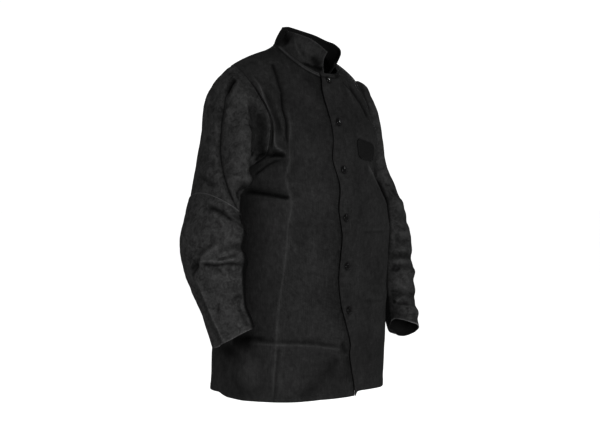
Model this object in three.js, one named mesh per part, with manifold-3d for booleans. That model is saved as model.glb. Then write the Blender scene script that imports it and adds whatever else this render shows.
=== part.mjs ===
// A work jacket with a cotton body and split-leather sleeves, in the shape it takes when worn.
// Millimetres. +Z up, the front faces -Y, the wearer's left is +X.
// The origin lies in the neck opening, at the height of the seam at the nape.
import * as THREE from 'three';
import Module from 'manifold-3d';

// Walls and gaps
const COTTON_WALL = 1.5;
const LEATHER_WALL = 2.0;
const COLLAR_WALL = 3.0;
const SEAM_GAP = 0.8;          // between two sewn pieces
const PIECE_GAP = 0.4;         // between a fitting and the cloth it sits on

// Front closing
const FLAP_LIFT = 5.0;         // the left front lies this far over the right front
const FLAP_FLAT_TO = 12;       // the lift is full up to here, measured across from the centre line
const FLAP_GONE_BY = 75;       // and has gone by here
const UNDERLAP = 22;           // the right front runs on this far under the left one
const SNAP_X = -4;             // the snaps' line
const SNAP_CAP = 7.5;          // radius of a cap
const SNAP_DOME = 2.6;
const SNAP_POST = 2.0;
const SNAP_BORE = 2.5;
const SNAP_SOCKET = 5.0;
const SNAP_SOCKET_DEPTH = 1.0;
const STUD_HEAD = 3.6;
const STUD_HEAD_DEPTH = 1.0;
const STUD_BACK = 5.0;
const STUD_BACK_DEPTH = 0.9;
const SNAP_SIDES = 10;
const STUD_SIDES = 8;
const BORE_SIDES = 8;

// Patch on the left chest
const PATCH_WALL = 1.2;
const PATCH_GAP = 0.7;
const PATCH_CELLS = 6;
const PATCH_ROUND = 0.16;      // how much of the half-width the rounded corners take

// Facets; the rows below the armpit gather at the creases
const SIDE_ROWS = [6.17, 6.33, 6.45, 6.58, 6.8, 7.15, 7.55, 7.9, 8.2, 8.38, 8.5, 8.62, 8.8];
const SHOULDER_ROWS = 4;
const ARMHOLE_ROWS = 10;
const FRONT_COLUMNS = 13;
const BACK_COLUMNS = 14;
const SLEEVE_COLUMNS = 2 * ARMHOLE_ROWS;
const UPPER_RINGS = 13;
const FOREARM_RINGS = 10;
const COLLAR_COLUMNS = 24;
const COLLAR_ROWS = [0, 0.22, 0.6, 1];

const LEFT = 1;
const RIGHT = -1;

/** Rows of a table as objects. */
function table(columns, lines) {
  return lines.map((line) => Object.fromEntries(columns.map((key, i) => [key, line[i]])));
}

// Sections of the body from the neckline to the hem: the seam line at the side (shoulder seam, armhole,
// side seam), and how far the section sways to the left and rolls about the fore-and-aft axis.
const SECTIONS = table(['name', 'sideX', 'sway', 'roll'], [
  ['neck', 74, 0, -0.050],
  ['shoulder_mid', 131, -2, -0.052],
  ['shoulder_tip', 184, -5, -0.042],
  ['armhole_upper', 165, -5, -0.030],
  ['armhole_mid', 150, -5, -0.020],
  ['armhole_low', 160, -4, -0.012],
  ['armpit', 184, -3, -0.008],
  ['ribs', 195, 0, 0],
  ['waist', 198, -2, 0],
  ['hem', 199, -12, 0.030],
]);

// The front half of each section: its centre line, its place at the side, the reach of the flat middle,
// and the pull of the corner towards the side.
const HALF_COLUMNS = ['name', 'centreY', 'centreZ', 'sideY', 'sideZ', 'reach', 'pullX', 'pullY', 'pullZ'];
const FRONT = table(HALF_COLUMNS, [
  ['neck', -82, -66, -18, -8, 42, 0, -36, -28],
  ['shoulder_mid', -99, -102, -8, -29, 75, -6, -45, -20],
  ['shoulder_tip', -112, -138, 6, -58, 108, -16, -44, -34],
  ['armhole_upper', -122, -174, -46, -108, 110, -14, -30, -24],
  ['armhole_mid', -129, -216, -77, -180, 108, -18, -30, -8],
  ['armhole_low', -134, -256, -76, -236, 108, -16, -30, -4],
  ['armpit', -138, -296, 4, -276, 126, 4, -94, 0],
  ['ribs', -143, -390, 4, -390, 144, 4, -109, 0],
  ['waist', -150, -540, 2, -540, 148, 4, -114, 0],
  ['hem', -160, -756, 0, -745, 136, 2, -106, 0],
]);
const BACK = table(HALF_COLUMNS, [
  ['neck', 50, 0, -18, -8, 42, 0, 36, 6],
  ['shoulder_mid', 72, -34, -8, -29, 80, -2, 42, -14],
  ['shoulder_tip', 96, -80, 6, -58, 120, -6, 48, -30],
  ['armhole_upper', 114, -124, 66, -112, 122, -28, 28, -10],
  ['armhole_mid', 126, -178, 92, -180, 120, -34, 20, 0],
  ['armhole_low', 130, -236, 76, -240, 124, -16, 36, 0],
  ['armpit', 130, -284, 4, -276, 128, 6, 86, 0],
  ['ribs', 130, -390, 4, -390, 134, 4, 88, 0],
  ['waist', 130, -540, 2, -540, 136, 4, 90, 0],
  ['hem', 140, -744, 0, -745, 134, 4, 96, 0],
]);
const NECK = 0;
const SHOULDER_TIP = 2;
const ARMPIT = 6;
const HEM = 9;

// The free edge of the left front, across from the centre line, at each section; it swings open at the hem.
const FREE_EDGE = table(['name', 'x'], [
  ['neck', -19],
  ['shoulder_mid', -24],
  ['shoulder_tip', -28],
  ['armhole_upper', -30],
  ['armhole_mid', -28],
  ['armhole_low', -27],
  ['armpit', -22],
  ['ribs', -21],
  ['waist', -22],
  ['hem', 9],
]);
const EDGE_OPENS_AT = 8.25;    // section number where the edge leaves its line
const EDGE_HELD_X = -20;

// Rings of a sleeve below its armhole: the outermost and innermost points, the lean and the toe-in of the
// fore-and-aft line, and how far the ring reaches forward and back.
const RINGS = table(
  ['name', 'outX', 'outY', 'outZ', 'inX', 'inY', 'inZ', 'lean', 'toe', 'fore', 'aft'],
  [
    ['cap', 203, 9, -76, 194, 5, -281, 0, 0, 74, 78],
    ['crown', 217, 15, -104, 197, 6, -289, 0, 0, 74, 72],
    ['deltoid', 227, 20, -150, 198, 8, -299, 0, 0, 74, 66],
    ['biceps', 235, 23, -206, 199, 10, -310, 0, 0, 76, 66],
    ['upper', 248, 20, -262, 200, 10, -324, 0, 0, 76, 68],
    ['mid', 266, 11, -318, 202, 8, -344, 2, 0, 74, 72],
    ['above', 283, 4, -366, 204, 4, -376, 4, 4, 76, 80],
    ['elbow', 295, 0, -412, 205, 0, -414, 10, 8, 80, 86],
    ['below', 297, -10, -456, 207, -10, -454, 16, 12, 76, 82],
    ['forearm', 294, -24, -502, 210, -24, -498, 22, 18, 62, 70],
    ['wrist', 288, -48, -566, 215, -48, -562, 24, 26, 47, 56],
    ['cuff', 281, -66, -620, 217, -66, -616, 22, 32, 42, 50],
  ],
);
const CUFF = RINGS.length;
const LEFT_ARM = {                           // how far the left arm hangs from the mirror of the right one
  shoulder: new THREE.Vector3(-3, 6, 0),
  cuff: new THREE.Vector3(9, -14, -16),
};
const ARM_LOOSE_FROM = -180;                 // height where that begins
const ARM_LOOSE_OVER = 430;
const SHOULDER_SET = { sway: -5, roll: -0.034, from: -120, to: -420 };

// The lapped seam above the elbow, as a ring number: it climbs towards the back of the arm.
const ELBOW_SEAM = { ring: 6.62, climb: 0.8, highest: 0.88 };

// The collar from the nape to its front corner: where its foot stands on the neckline and where its top edge is.
const COLLAR_LINE = ['name', 'half', 'along', 'topX', 'topY', 'topZ', 'leftX', 'leftY', 'leftZ'];
const COLLAR = table(COLLAR_LINE, [
  ['nape', 'back', 0, 0, 36, 47, 0, 36, 47],
  ['nape_side', 'back', 0.3, 30, 24, 44, 30, 24, 39],
  ['behind_neck', 'back', 0.65, 52, 2, 39, 52, 2, 28],
  ['neck_point', 'front', 1, 64, -25, 31, 64, -25, 14],
  ['neck_side', 'front', 0.72, 64, -52, 24, 66, -52, 7],
  ['throat', 'front', 0.38, 46, -83, 10, 56, -80, 0],
  ['front_end', 'front', 0.03, 13, -102, -11, 30, -100, -5],
]);
const COLLAR_FOOT = 1.2;       // the foot stands this far above the neckline

// Folds: a ridge (or a groove, when the height is negative) along a line on the piece. Lines are given by
// place across and section number on the fronts and back, and by share of the way round and ring on the sleeves.
const FOLDS = table(['on', 'height', 'width', 'line'], [
  ['right_front', 6, 24, [[0.51, 3.0], [0.66, 4.75], [0.455, 6.33], [0.43, 6.67], [0.48, 7.5], [0.54, 8.12],
    [0.555, 8.48], [0.575, 8.97]]],
  ['right_front', 9, 14, [[0.62, 1.3], [0.48, 1.87], [0.62, 3.4], [0.68, 4.55]]],
  ['right_front', 10, 14, [[0.76, 1.65], [0.80, 2.8], [0.88, 3.65], [0.815, 4.42], [0.70, 4.92]]],
  ['right_front', -7, 10, [[0.68, 1.8], [0.74, 3.4], [0.76, 4.4]]],
  ['right_front', -11, 12, [[0.95, 5.25], [0.885, 5.1], [0.65, 5.07]]],
  ['right_front', -11, 12, [[0.90, 6.42], [0.775, 6.45], [0.615, 6.45], [0.46, 6.47]]],
  ['right_front', 6, 14, [[0.745, 6.13], [0.695, 5.65], [0.60, 5.35]]],
  ['right_front', 4, 16, [[0.9, 8.46], [0.555, 8.48], [0.275, 8.5], [0.03, 8.57]]],
  ['right_front', 4, 20, [[0.08, 8.62], [0.275, 8.8], [0.37, 8.95]]],
  ['right_front', -4, 20, [[0.97, 8.55], [0.95, 8.83], [0.795, 8.95]]],
  ['left_front', 4, 14, [[0.32, 0.5], [0.34, 1.63], [0.53, 3.18]]],
  ['left_front', -5, 14, [[0.6, 1.3], [0.62, 2.2], [0.74, 3.3]]],
  ['left_front', -6, 16, [[0.44, 6.45], [0.7, 6.4]]],
  ['left_front', 3, 18, [[0.2, 7.1], [0.6, 7.1]]],
  ['left_front', 3, 18, [[0.2, 8.04], [0.6, 8.06]]],
  ['right_sleeve', -16, 16, [[0.17, 0.62], [0.23, 0.7], [0.29, 0.68], [0.35, 0.55]]],
  ['right_sleeve', -6, 11, [[0.066, 0.95], [0.056, 2.4], [0.062, 3.9], [0.09, 4.8], [0.15, 5.6], [0.21, 6.2]]],
  ['right_sleeve', 6, 14, [[0.04, 6.75], [0.15, 7.2], [0.27, 7.95]]],
  ['right_sleeve', -6, 11, [[0.17, 6.95], [0.31, 6.55]]],
  ['right_sleeve', -5, 12, [[0.12, 8.85], [0.3, 8.95]]],
  ['right_sleeve', 5, 13, [[0.95, 9.2], [0.09, 9.35], [0.3, 9.55]]],
  ['right_sleeve', -5, 11, [[0.15, 9.95], [0.33, 10.05]]],
  ['right_sleeve', 4, 12, [[0.917, 9.78], [0.931, 10.75], [0.95, 12]]],
  ['left_sleeve', -14, 16, [[0.17, 0.62], [0.23, 0.7], [0.29, 0.68], [0.35, 0.55]]],
  ['left_sleeve', 6, 13, [[0.35, 5.6], [0.27, 6.1], [0.15, 6.5], [0.05, 6.8]]],
  ['left_sleeve', -6, 12, [[0.36, 6.5], [0.25, 7.0], [0.12, 7.5]]],
  ['left_sleeve', 6, 14, [[0.36, 8.0], [0.2, 8.3], [0.05, 8.6]]],
  ['left_sleeve', -6, 12, [[0.36, 9.4], [0.2, 9.6], [0.05, 9.6]]],
  ['left_sleeve', 6, 13, [[0.4, 10.2], [0.2, 10.3], [0.0, 10.2]]],
  ['left_sleeve', -5, 9, [[0.5, 10.9], [0.25, 10.95], [0.0, 10.95], [0.8, 10.9]]],
  ['left_sleeve', 6, 10, [[0.5, 11.35], [0.25, 11.45], [0.0, 11.45], [0.75, 11.4]]],
  ['back', 5, 26, [[0.55, 3.2], [0.5, 4.6], [0.56, 6.2]]],
  ['back', -5, 24, [[0.8, 5.6], [0.55, 6.3], [0.2, 6.7]]],
  ['back', 5, 30, [[0.4, 7.1], [0.46, 8.0], [0.5, 9.0]]],
]);
const FOLD_FREE_FROM = 0.16;   // folds die out towards a seam over this share of the piece

// Sections where the snaps sit
const SNAP_SECTIONS = [0.37, 2.88, 5.42, 6.86, 7.63, 8.17];

// Corners of the chest patch on the left front: place across and section number, clockwise from the top inside
const PATCH_CORNERS = [[0.2, 3.78], [0.41, 3.98], [0.415, 5.0], [0.185, 4.88]];

/** The value of one column between the rows, as a monotone cubic over the row numbers. */
function columnCurve(rows, key, first = 0) {
  const y = rows.map((row) => row[key]);
  const last = y.length - 1;
  const slope = y.slice(1).map((value, i) => value - y[i]);
  const rate = y.map((_, i) => {
    if (i === 0) return endRate(slope[0], slope[1] ?? slope[0]);
    if (i === last) return endRate(slope[last - 1], slope[last - 2] ?? slope[last - 1]);
    const before = slope[i - 1];
    const after = slope[i];
    return before * after > 0 ? (2 * before * after) / (before + after) : 0;
  });
  return (at) => {
    const place = THREE.MathUtils.clamp(at - first, 0, last);
    const i = Math.min(Math.floor(place), last - 1);
    const t = place - i;
    const t2 = t * t;
    const t3 = t2 * t;
    return (2 * t3 - 3 * t2 + 1) * y[i] + (t3 - 2 * t2 + t) * rate[i]
      + (3 * t2 - 2 * t3) * y[i + 1] + (t3 - t2) * rate[i + 1];
  };
}

/** A column that turns a corner at the shoulder tip and at the armpit, as the seams at the side do. */
function seamCurve(rows, key) {
  const shoulder = columnCurve(rows.slice(NECK, SHOULDER_TIP + 1), key);
  const armhole = columnCurve(rows.slice(SHOULDER_TIP, ARMPIT + 1), key, SHOULDER_TIP);
  const side = columnCurve(rows.slice(ARMPIT), key, ARMPIT);
  return (v) => {
    if (v <= SHOULDER_TIP) return shoulder(v);
    return v <= ARMPIT ? armhole(v) : side(v);
  };
}

/** The rate at the end of a column, kept from overshooting. */
function endRate(nearest, next) {
  const rate = (3 * nearest - next) / 2;
  if (rate * nearest <= 0) return 0;
  if (nearest * next < 0 && Math.abs(rate) > 3 * Math.abs(nearest)) return 3 * nearest;
  return rate;
}

/** Every number column of a table as a function of the row number. */
function curves(rows, first = 0) {
  const keys = Object.keys(rows[0]).filter((key) => typeof rows[0][key] === 'number');
  return Object.fromEntries(keys.map((key) => [
    key,
    key.startsWith('side') ? seamCurve(rows, key) : columnCurve(rows, key, first),
  ]));
}

const section = curves(SECTIONS);
const halves = { front: curves(FRONT), back: curves(BACK) };
const ring = curves(RINGS, 1);
const collar = curves(COLLAR);
const freeEdge = curves(FREE_EDGE);

/** A point between four control points. */
function bezier(a, b, c, d, s) {
  const r = 1 - s;
  return a.clone().multiplyScalar(r * r * r)
    .addScaledVector(b, 3 * r * r * s)
    .addScaledVector(c, 3 * r * s * s)
    .addScaledVector(d, s * s * s);
}

/** A point of the body: half front or back, s from the centre line (0) to the side (1), v the section. */
function bodyPoint(half, side, s, v) {
  const h = halves[half];
  const centre = new THREE.Vector3(0, h.centreY(v), h.centreZ(v));
  const edge = new THREE.Vector3(section.sideX(v), h.sideY(v), h.sideZ(v));
  const middle = centre.clone().add(new THREE.Vector3(h.reach(v), 0, 0));
  const corner = edge.clone().add(new THREE.Vector3(h.pullX(v), h.pullY(v), h.pullZ(v)));
  const p = bezier(centre, middle, corner, edge, Math.max(s, 0));
  p.x += 3 * h.reach(v) * Math.min(s, 0);
  p.x *= side;
  p.z += p.x * section.roll(v);
  p.x += section.sway(v);
  return p;
}

/** The place across at which a front starts, for a distance from the centre line. */
function startAcross(x, v) {
  return x / (3 * halves.front.reach(v));
}

/** The free edge of the left front, swinging open below the last snap. */
function freeEdgeX(v) {
  if (v < EDGE_OPENS_AT) return Math.min(freeEdge.x(v), EDGE_HELD_X + 2);
  const t = (v - EDGE_OPENS_AT) / (HEM - EDGE_OPENS_AT);
  return THREE.MathUtils.lerp(EDGE_HELD_X, FREE_EDGE[HEM].x, t);
}

/** A point of a sleeve: q the share of the way round (0 outside, 0.25 front, 0.5 inside), u the ring. */
function sleevePoint(side, q, u) {
  const at = Math.max(u, 1);
  const lean = THREE.MathUtils.degToRad(ring.lean(at));
  const toe = THREE.MathUtils.degToRad(ring.toe(at));
  const out = new THREE.Vector3(ring.outX(at), ring.outY(at), ring.outZ(at));
  const inner = new THREE.Vector3(ring.inX(at), ring.inY(at), ring.inZ(at));
  const centre = out.clone().add(inner).multiplyScalar(0.5);
  const fore = new THREE.Vector3(-Math.sin(toe) * Math.cos(lean), -Math.cos(toe) * Math.cos(lean), Math.sin(lean));
  const arm = out.sub(inner).multiplyScalar(0.5);
  arm.addScaledVector(fore, -arm.dot(fore));
  if (side === LEFT) {
    const loose = THREE.MathUtils.clamp((ARM_LOOSE_FROM - centre.z) / ARM_LOOSE_OVER, 0, 1.05);
    centre.add(LEFT_ARM.shoulder.clone().lerp(LEFT_ARM.cuff, loose));
  }
  const angle = 2 * Math.PI * q;
  const reach = Math.sin(angle) > 0 ? ring.fore(at) : ring.aft(at);
  const p = centre.addScaledVector(arm, Math.cos(angle)).addScaledVector(fore, reach * Math.sin(angle));
  p.x *= side;
  const set = THREE.MathUtils.clamp((p.z - SHOULDER_SET.to) / (SHOULDER_SET.from - SHOULDER_SET.to), 0, 1);
  p.z += p.x * SHOULDER_SET.roll * set;
  p.x += SHOULDER_SET.sway * set;
  return u < 1 ? armholePoint(side, q).lerp(p, Math.max(u, 0)) : p;
}

/** A point of the armhole, round it the same way as the sleeve. */
function armholePoint(side, q) {
  const round = ((q % 1) + 1) % 1;
  const depth = SHOULDER_TIP + (ARMPIT - SHOULDER_TIP) * 2 * Math.min(round, 1 - round);
  return bodyPoint(round <= 0.5 ? 'front' : 'back', side, 1, depth);
}

/** The ring number of the lapped seam at a place round the arm. */
function elbowSeam(q) {
  return ELBOW_SEAM.ring - ELBOW_SEAM.climb * Math.cos(2 * Math.PI * (q - ELBOW_SEAM.highest));
}

/** A surface of the jacket: its smooth form, the side it faces and where its folds must die out. */
function surface(form, facing, free) {
  return { form, facing, free };
}

/** How far folds may move a point that is a share of the piece away from a seam. */
function clearOfSeam(share) {
  return THREE.MathUtils.smoothstep(share, 0, FOLD_FREE_FROM);
}

const bodyFree = (s, v) => clearOfSeam(1 - s) * clearOfSeam(v / 3);
const sleeveFree = (q, u) => clearOfSeam(u / 4);
const SURFACES = {
  right_front: surface((s, v) => bodyPoint('front', RIGHT, s, v), RIGHT, bodyFree),
  left_front: surface((s, v) => bodyPoint('front', LEFT, s, v), LEFT, bodyFree),
  back: surface((s, v) => bodyPoint('back', s < 0 ? RIGHT : LEFT, Math.abs(s), v), RIGHT,
    (s, v) => bodyFree(Math.abs(s), v)),
  right_sleeve: surface((q, u) => sleevePoint(RIGHT, q, u), LEFT, sleeveFree),
  left_sleeve: surface((q, u) => sleevePoint(LEFT, q, u), RIGHT, sleeveFree),
};

/** The outward direction of a surface, from its slopes. */
function outward(skin, a, b) {
  const step = 0.004;
  const across = skin.form(a + step, b).sub(skin.form(a - step, b));
  const along = skin.form(a, b + step).sub(skin.form(a, b - step));
  return across.cross(along).normalize().multiplyScalar(-skin.facing);
}

/** The folds of one surface, with their lines laid on its smooth form. */
function foldsOn(name) {
  const mirrored = name === 'back' ? [1, -1] : [1];
  return FOLDS.filter((fold) => fold.on === name).flatMap((fold) => mirrored.map((sign) => ({
    height: fold.height,
    width: fold.width,
    points: fold.line.map(([a, b]) => SURFACES[name].form(sign * a, b)),
  })));
}

const FOLDS_ON = Object.fromEntries(Object.keys(SURFACES).map((name) => [name, foldsOn(name)]));

/** The distance from a point to a line of points. */
function distanceToLine(p, points) {
  const nearest = new THREE.Vector3();
  const segment = new THREE.Line3();
  let least = Infinity;
  for (let i = 1; i < points.length; i += 1) {
    segment.set(points[i - 1], points[i]);
    segment.closestPointToPoint(p, true, nearest);
    least = Math.min(least, nearest.distanceTo(p));
  }
  return least;
}

/** How much of the flap's lift is left at a distance across from the centre line. */
function flapLift(x) {
  return FLAP_LIFT * (1 - THREE.MathUtils.smoothstep(x, FLAP_FLAT_TO, FLAP_GONE_BY));
}

/** A point of a surface with its folds and, on the left front, the flap's lift. */
function foldedPoint(name, a, b) {
  const skin = SURFACES[name];
  const p = skin.form(a, b);
  let rise = 0;
  for (const fold of FOLDS_ON[name]) {
    const d = distanceToLine(p, fold.points) / fold.width;
    if (d < 3) rise += fold.height * Math.exp(-d * d);
  }
  rise *= skin.free(a, b);
  if (name === 'left_front') rise += flapLift(p.x);
  return rise === 0 ? p : p.addScaledVector(outward(skin, a, b), rise);
}

/** A grid of points from a function of row and column places. */
function grid(rows, columns, point) {
  return rows.map((row) => columns.map((column) => point(column, row)));
}

/** Even steps from one number to another, both included. */
function steps(from, to, count) {
  return Array.from({ length: count + 1 }, (_, i) => from + ((to - from) * i) / count);
}

/** A sheet: the outer points, whether its columns close into a ring, and its wall. */
function sheet(points, round, wall) {
  return { points, round, wall, normals: gridNormals(points, round) };
}

/** The direction square to a grid at each of its points. */
function gridNormals(points, round) {
  const rows = points.length;
  const columns = points[0].length;
  const column = (c) => (round ? (c + columns) % columns : THREE.MathUtils.clamp(c, 0, columns - 1));
  return points.map((line, r) => line.map((_, c) => {
    const across = points[r][column(c + 1)].clone().sub(points[r][column(c - 1)]);
    const along = points[Math.min(r + 1, rows - 1)][c].clone().sub(points[Math.max(r - 1, 0)][c]);
    return across.cross(along).normalize();
  }));
}

/** Turns a sheet's directions so that they point out of the jacket. */
function faceOut(piece, facing) {
  piece.normals.forEach((line) => line.forEach((n) => n.multiplyScalar(facing)));
  return piece;
}

/** A key that two pieces share where they are sewn together. */
function seamKey(p) {
  return p.toArray().map((value) => Math.round(value * 20)).join(',');
}

/** Gives sewn edges a common direction, so that their rims lie side by side; edges that turn back on each
 * other, as under the arm, keep their own. */
function matchSeams(pieces) {
  const meeting = new Map();
  for (const piece of pieces) {
    piece.points.forEach((line, r) => line.forEach((p, c) => {
      const endRow = r === 0 || r === piece.points.length - 1;
      const endColumn = !piece.round && (c === 0 || c === line.length - 1);
      if (!endRow && !endColumn) return;
      const key = seamKey(p);
      meeting.set(key, [...(meeting.get(key) ?? []), piece.normals[r][c]]);
    }));
  }
  for (const directions of meeting.values()) {
    const own = directions.map((n) => n.clone());
    directions.forEach((n, i) => {
      own.forEach((other, j) => {
        if (i !== j) n.addScaledVector(other, THREE.MathUtils.smoothstep(own[i].dot(other), -0.3, 0.3));
      });
      n.normalize();
    });
  }
}

/** Moves one edge of a grid back from its seam by half the seam's gap. */
function pullBack(points, edge) {
  const last = points.length - 1;
  const end = points[0].length - 1;
  const move = (p, towards) => p.addScaledVector(towards.clone().sub(p).normalize(), SEAM_GAP / 2);
  if (edge === 'top') points[0].forEach((p, c) => move(p, points[1][c]));
  if (edge === 'bottom') points[last].forEach((p, c) => move(p, points[last - 1][c]));
  if (edge === 'first') points.forEach((line) => move(line[0], line[1]));
  if (edge === 'last') points.forEach((line) => move(line[end], line[end - 1]));
}

/** A closed solid from a sheet: its outer face, its inner face one wall in, and the rims between them. */
function sheetGeometry(piece) {
  const { points, normals, round, wall } = piece;
  const rows = points.length;
  const columns = points[0].length;
  const spans = round ? columns : columns - 1;
  const positions = [];
  for (const depth of [0, wall]) {
    points.forEach((line, r) => line.forEach((p, c) => {
      positions.push(...p.clone().addScaledVector(normals[r][c], -depth).toArray());
    }));
  }
  const outer = (r, c) => r * columns + (c % columns);
  const inner = (r, c) => rows * columns + outer(r, c);
  const index = [];
  const quad = (a, b, c, d) => index.push(a, b, c, a, c, d);
  for (let r = 0; r < rows - 1; r += 1) {
    for (let c = 0; c < spans; c += 1) {
      quad(outer(r, c), outer(r, c + 1), outer(r + 1, c + 1), outer(r + 1, c));
      quad(inner(r, c), inner(r + 1, c), inner(r + 1, c + 1), inner(r, c + 1));
    }
  }
  for (let c = 0; c < spans; c += 1) {
    quad(outer(0, c), inner(0, c), inner(0, c + 1), outer(0, c + 1));
    quad(outer(rows - 1, c), outer(rows - 1, c + 1), inner(rows - 1, c + 1), inner(rows - 1, c));
  }
  for (let r = 0; r < rows - 1 && !round; r += 1) {
    quad(outer(r, 0), outer(r + 1, 0), inner(r + 1, 0), inner(r, 0));
    quad(outer(r, columns - 1), inner(r, columns - 1), inner(r + 1, columns - 1), outer(r + 1, columns - 1));
  }
  return closedGeometry(positions, index);
}

/** A geometry whose faces all look outwards. */
function closedGeometry(positions, index) {
  const at = (i) => new THREE.Vector3().fromArray(positions, 3 * i);
  let volume = 0;
  for (let i = 0; i < index.length; i += 3) {
    volume += at(index[i]).dot(at(index[i + 1]).cross(at(index[i + 2])));
  }
  if (volume < 0) index.reverse();
  const geometry = new THREE.BufferGeometry();
  geometry.setAttribute('position', new THREE.Float32BufferAttribute(positions, 3));
  geometry.setIndex(index);
  geometry.computeVertexNormals();
  return geometry;
}

/** A turned solid about an axis through a point: its profile runs from the axis out and back to the axis. */
function turned(profile, sides, origin, axis) {
  const turn = new THREE.Quaternion().setFromUnitVectors(new THREE.Vector3(0, 0, 1), axis);
  const place = (x, y, z) => new THREE.Vector3(x, y, z).applyQuaternion(turn).add(origin).toArray();
  const rings = profile.slice(1, -1);
  const positions = [...place(0, 0, profile[0][1])];
  for (const [radius, height] of rings) {
    for (let k = 0; k < sides; k += 1) {
      const angle = (2 * Math.PI * k) / sides;
      positions.push(...place(radius * Math.cos(angle), radius * Math.sin(angle), height));
    }
  }
  positions.push(...place(0, 0, profile.at(-1)[1]));
  const tip = rings.length * sides + 1;
  const at = (level, k) => 1 + level * sides + (k % sides);
  const index = [];
  for (let k = 0; k < sides; k += 1) {
    index.push(0, at(0, k + 1), at(0, k));
    for (let level = 0; level < rings.length - 1; level += 1) {
      index.push(at(level, k), at(level, k + 1), at(level + 1, k + 1));
      index.push(at(level, k), at(level + 1, k + 1), at(level + 1, k));
    }
    index.push(at(rings.length - 1, k), at(rings.length - 1, k + 1), tip);
  }
  return closedGeometry(positions, index);
}

const solids = await Module();
solids.setup();

/** A geometry as a solid that can be cut. */
function toSolid(geometry) {
  return new solids.Manifold(new solids.Mesh({
    numProp: 3,
    vertProperties: Float32Array.from(geometry.getAttribute('position').array),
    triVerts: Uint32Array.from(geometry.getIndex().array),
  }));
}

/** A solid back as a geometry. */
function toGeometry(solid) {
  const mesh = solid.getMesh();
  return closedGeometry(Array.from(mesh.vertProperties), Array.from(mesh.triVerts));
}

/** A piece with round holes bored through it at the seats. */
function bored(geometry, seats) {
  const reach = 12;
  const profile = [[0, -reach], [SNAP_BORE, -reach], [SNAP_BORE, reach], [0, reach]];
  let solid = toSolid(geometry);
  for (const seat of seats) {
    solid = solid.subtract(toSolid(turned(profile, BORE_SIDES, seat.point, seat.axis)));
  }
  return toGeometry(solid);
}

/** Where a fitting sits on a front: the point on its outer face and the direction out of it. */
function seatOn(name, x, v) {
  const across = startAcross(name === 'left_front' ? x - section.sway(v) : section.sway(v) - x, v);
  const step = 0.03;
  const point = foldedPoint(name, across, v);
  const alongLine = foldedPoint(name, across, v + step).sub(foldedPoint(name, across, v - step));
  const acrossLine = foldedPoint(name, across + step, v).sub(foldedPoint(name, across - step, v));
  const axis = acrossLine.cross(alongLine).normalize();
  return { point, axis: axis.y > 0 ? axis.negate() : axis };
}

/** A snap's cap, post and socket: the cap outside the cloth, the socket inside it. */
function snapProfile() {
  const foot = PIECE_GAP;
  const under = -COTTON_WALL - PIECE_GAP;
  return [
    [0, under - SNAP_SOCKET_DEPTH],
    [SNAP_SOCKET, under - SNAP_SOCKET_DEPTH],
    [SNAP_SOCKET, under],
    [SNAP_POST, under],
    [SNAP_POST, foot],
    [SNAP_CAP, foot],
    [SNAP_CAP, foot + 0.9],
    [SNAP_CAP * 0.86, foot + SNAP_DOME * 0.7],
    [SNAP_CAP * 0.5, foot + SNAP_DOME * 0.95],
    [0, foot + SNAP_DOME],
  ];
}

/** A stud's head, post and backing: the head faces the socket, the backing is inside the jacket. */
function studProfile() {
  const foot = PIECE_GAP;
  const under = -COTTON_WALL - PIECE_GAP;
  return [
    [0, under - STUD_BACK_DEPTH],
    [STUD_BACK, under - STUD_BACK_DEPTH],
    [STUD_BACK, under],
    [SNAP_POST, under],
    [SNAP_POST, foot],
    [STUD_HEAD, foot],
    [STUD_HEAD, foot + STUD_HEAD_DEPTH],
    [0, foot + STUD_HEAD_DEPTH],
  ];
}

const BODY_ROWS = [
  ...steps(NECK, SHOULDER_TIP, SHOULDER_ROWS),
  ...steps(SHOULDER_TIP, ARMPIT, ARMHOLE_ROWS).slice(1),
  ...SIDE_ROWS,
  HEM,
];

/** A front from its free edge to the side. */
function frontSheet(name, startX) {
  const shares = steps(0, 1, FRONT_COLUMNS);
  const points = grid(BODY_ROWS, shares, (share, v) => {
    const start = startAcross(startX(v), v);
    return foldedPoint(name, start + (1 - start) * share, v);
  });
  return faceOut(sheet(points, false, COTTON_WALL), -SURFACES[name].facing);
}

/** The back from its right side seam to its left one. */
function backSheet() {
  const points = grid(BODY_ROWS, steps(-1, 1, BACK_COLUMNS), (s, v) => foldedPoint('back', s, v));
  return faceOut(sheet(points, false, COTTON_WALL), 1);
}

/** One length of a sleeve between two lines of rings. */
function sleeveSheet(name, rings, from, to) {
  const places = Array.from({ length: SLEEVE_COLUMNS }, (_, i) => i / SLEEVE_COLUMNS);
  const points = grid(steps(0, 1, rings), places, (q, t) => {
    const u = THREE.MathUtils.lerp(from(q), to(q), t);
    return foldedPoint(name, q, u);
  });
  return faceOut(sheet(points, true, LEATHER_WALL), -SURFACES[name].facing);
}

/** The foot of the collar on the neckline: t from the nape (0) to the front end. */
function collarFoot(side, t) {
  const neck = COLLAR.findIndex((row) => row.name === 'neck_point');
  const along = (half, rows) => THREE.MathUtils.lerp(
    rows[Math.floor(t)] ?? 0,
    rows[Math.min(Math.floor(t) + 1, rows.length - 1)],
    t - Math.floor(t),
  );
  const backRows = COLLAR.map((row) => (row.half === 'back' ? row.along : 1));
  const frontRows = COLLAR.map((row) => (row.half === 'front' ? row.along : 1));
  const name = side === LEFT ? 'left_front' : 'right_front';
  return t <= neck
    ? foldedPoint('back', side * along('back', backRows), NECK)
    : foldedPoint(name, along('front', frontRows), NECK);
}

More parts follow.
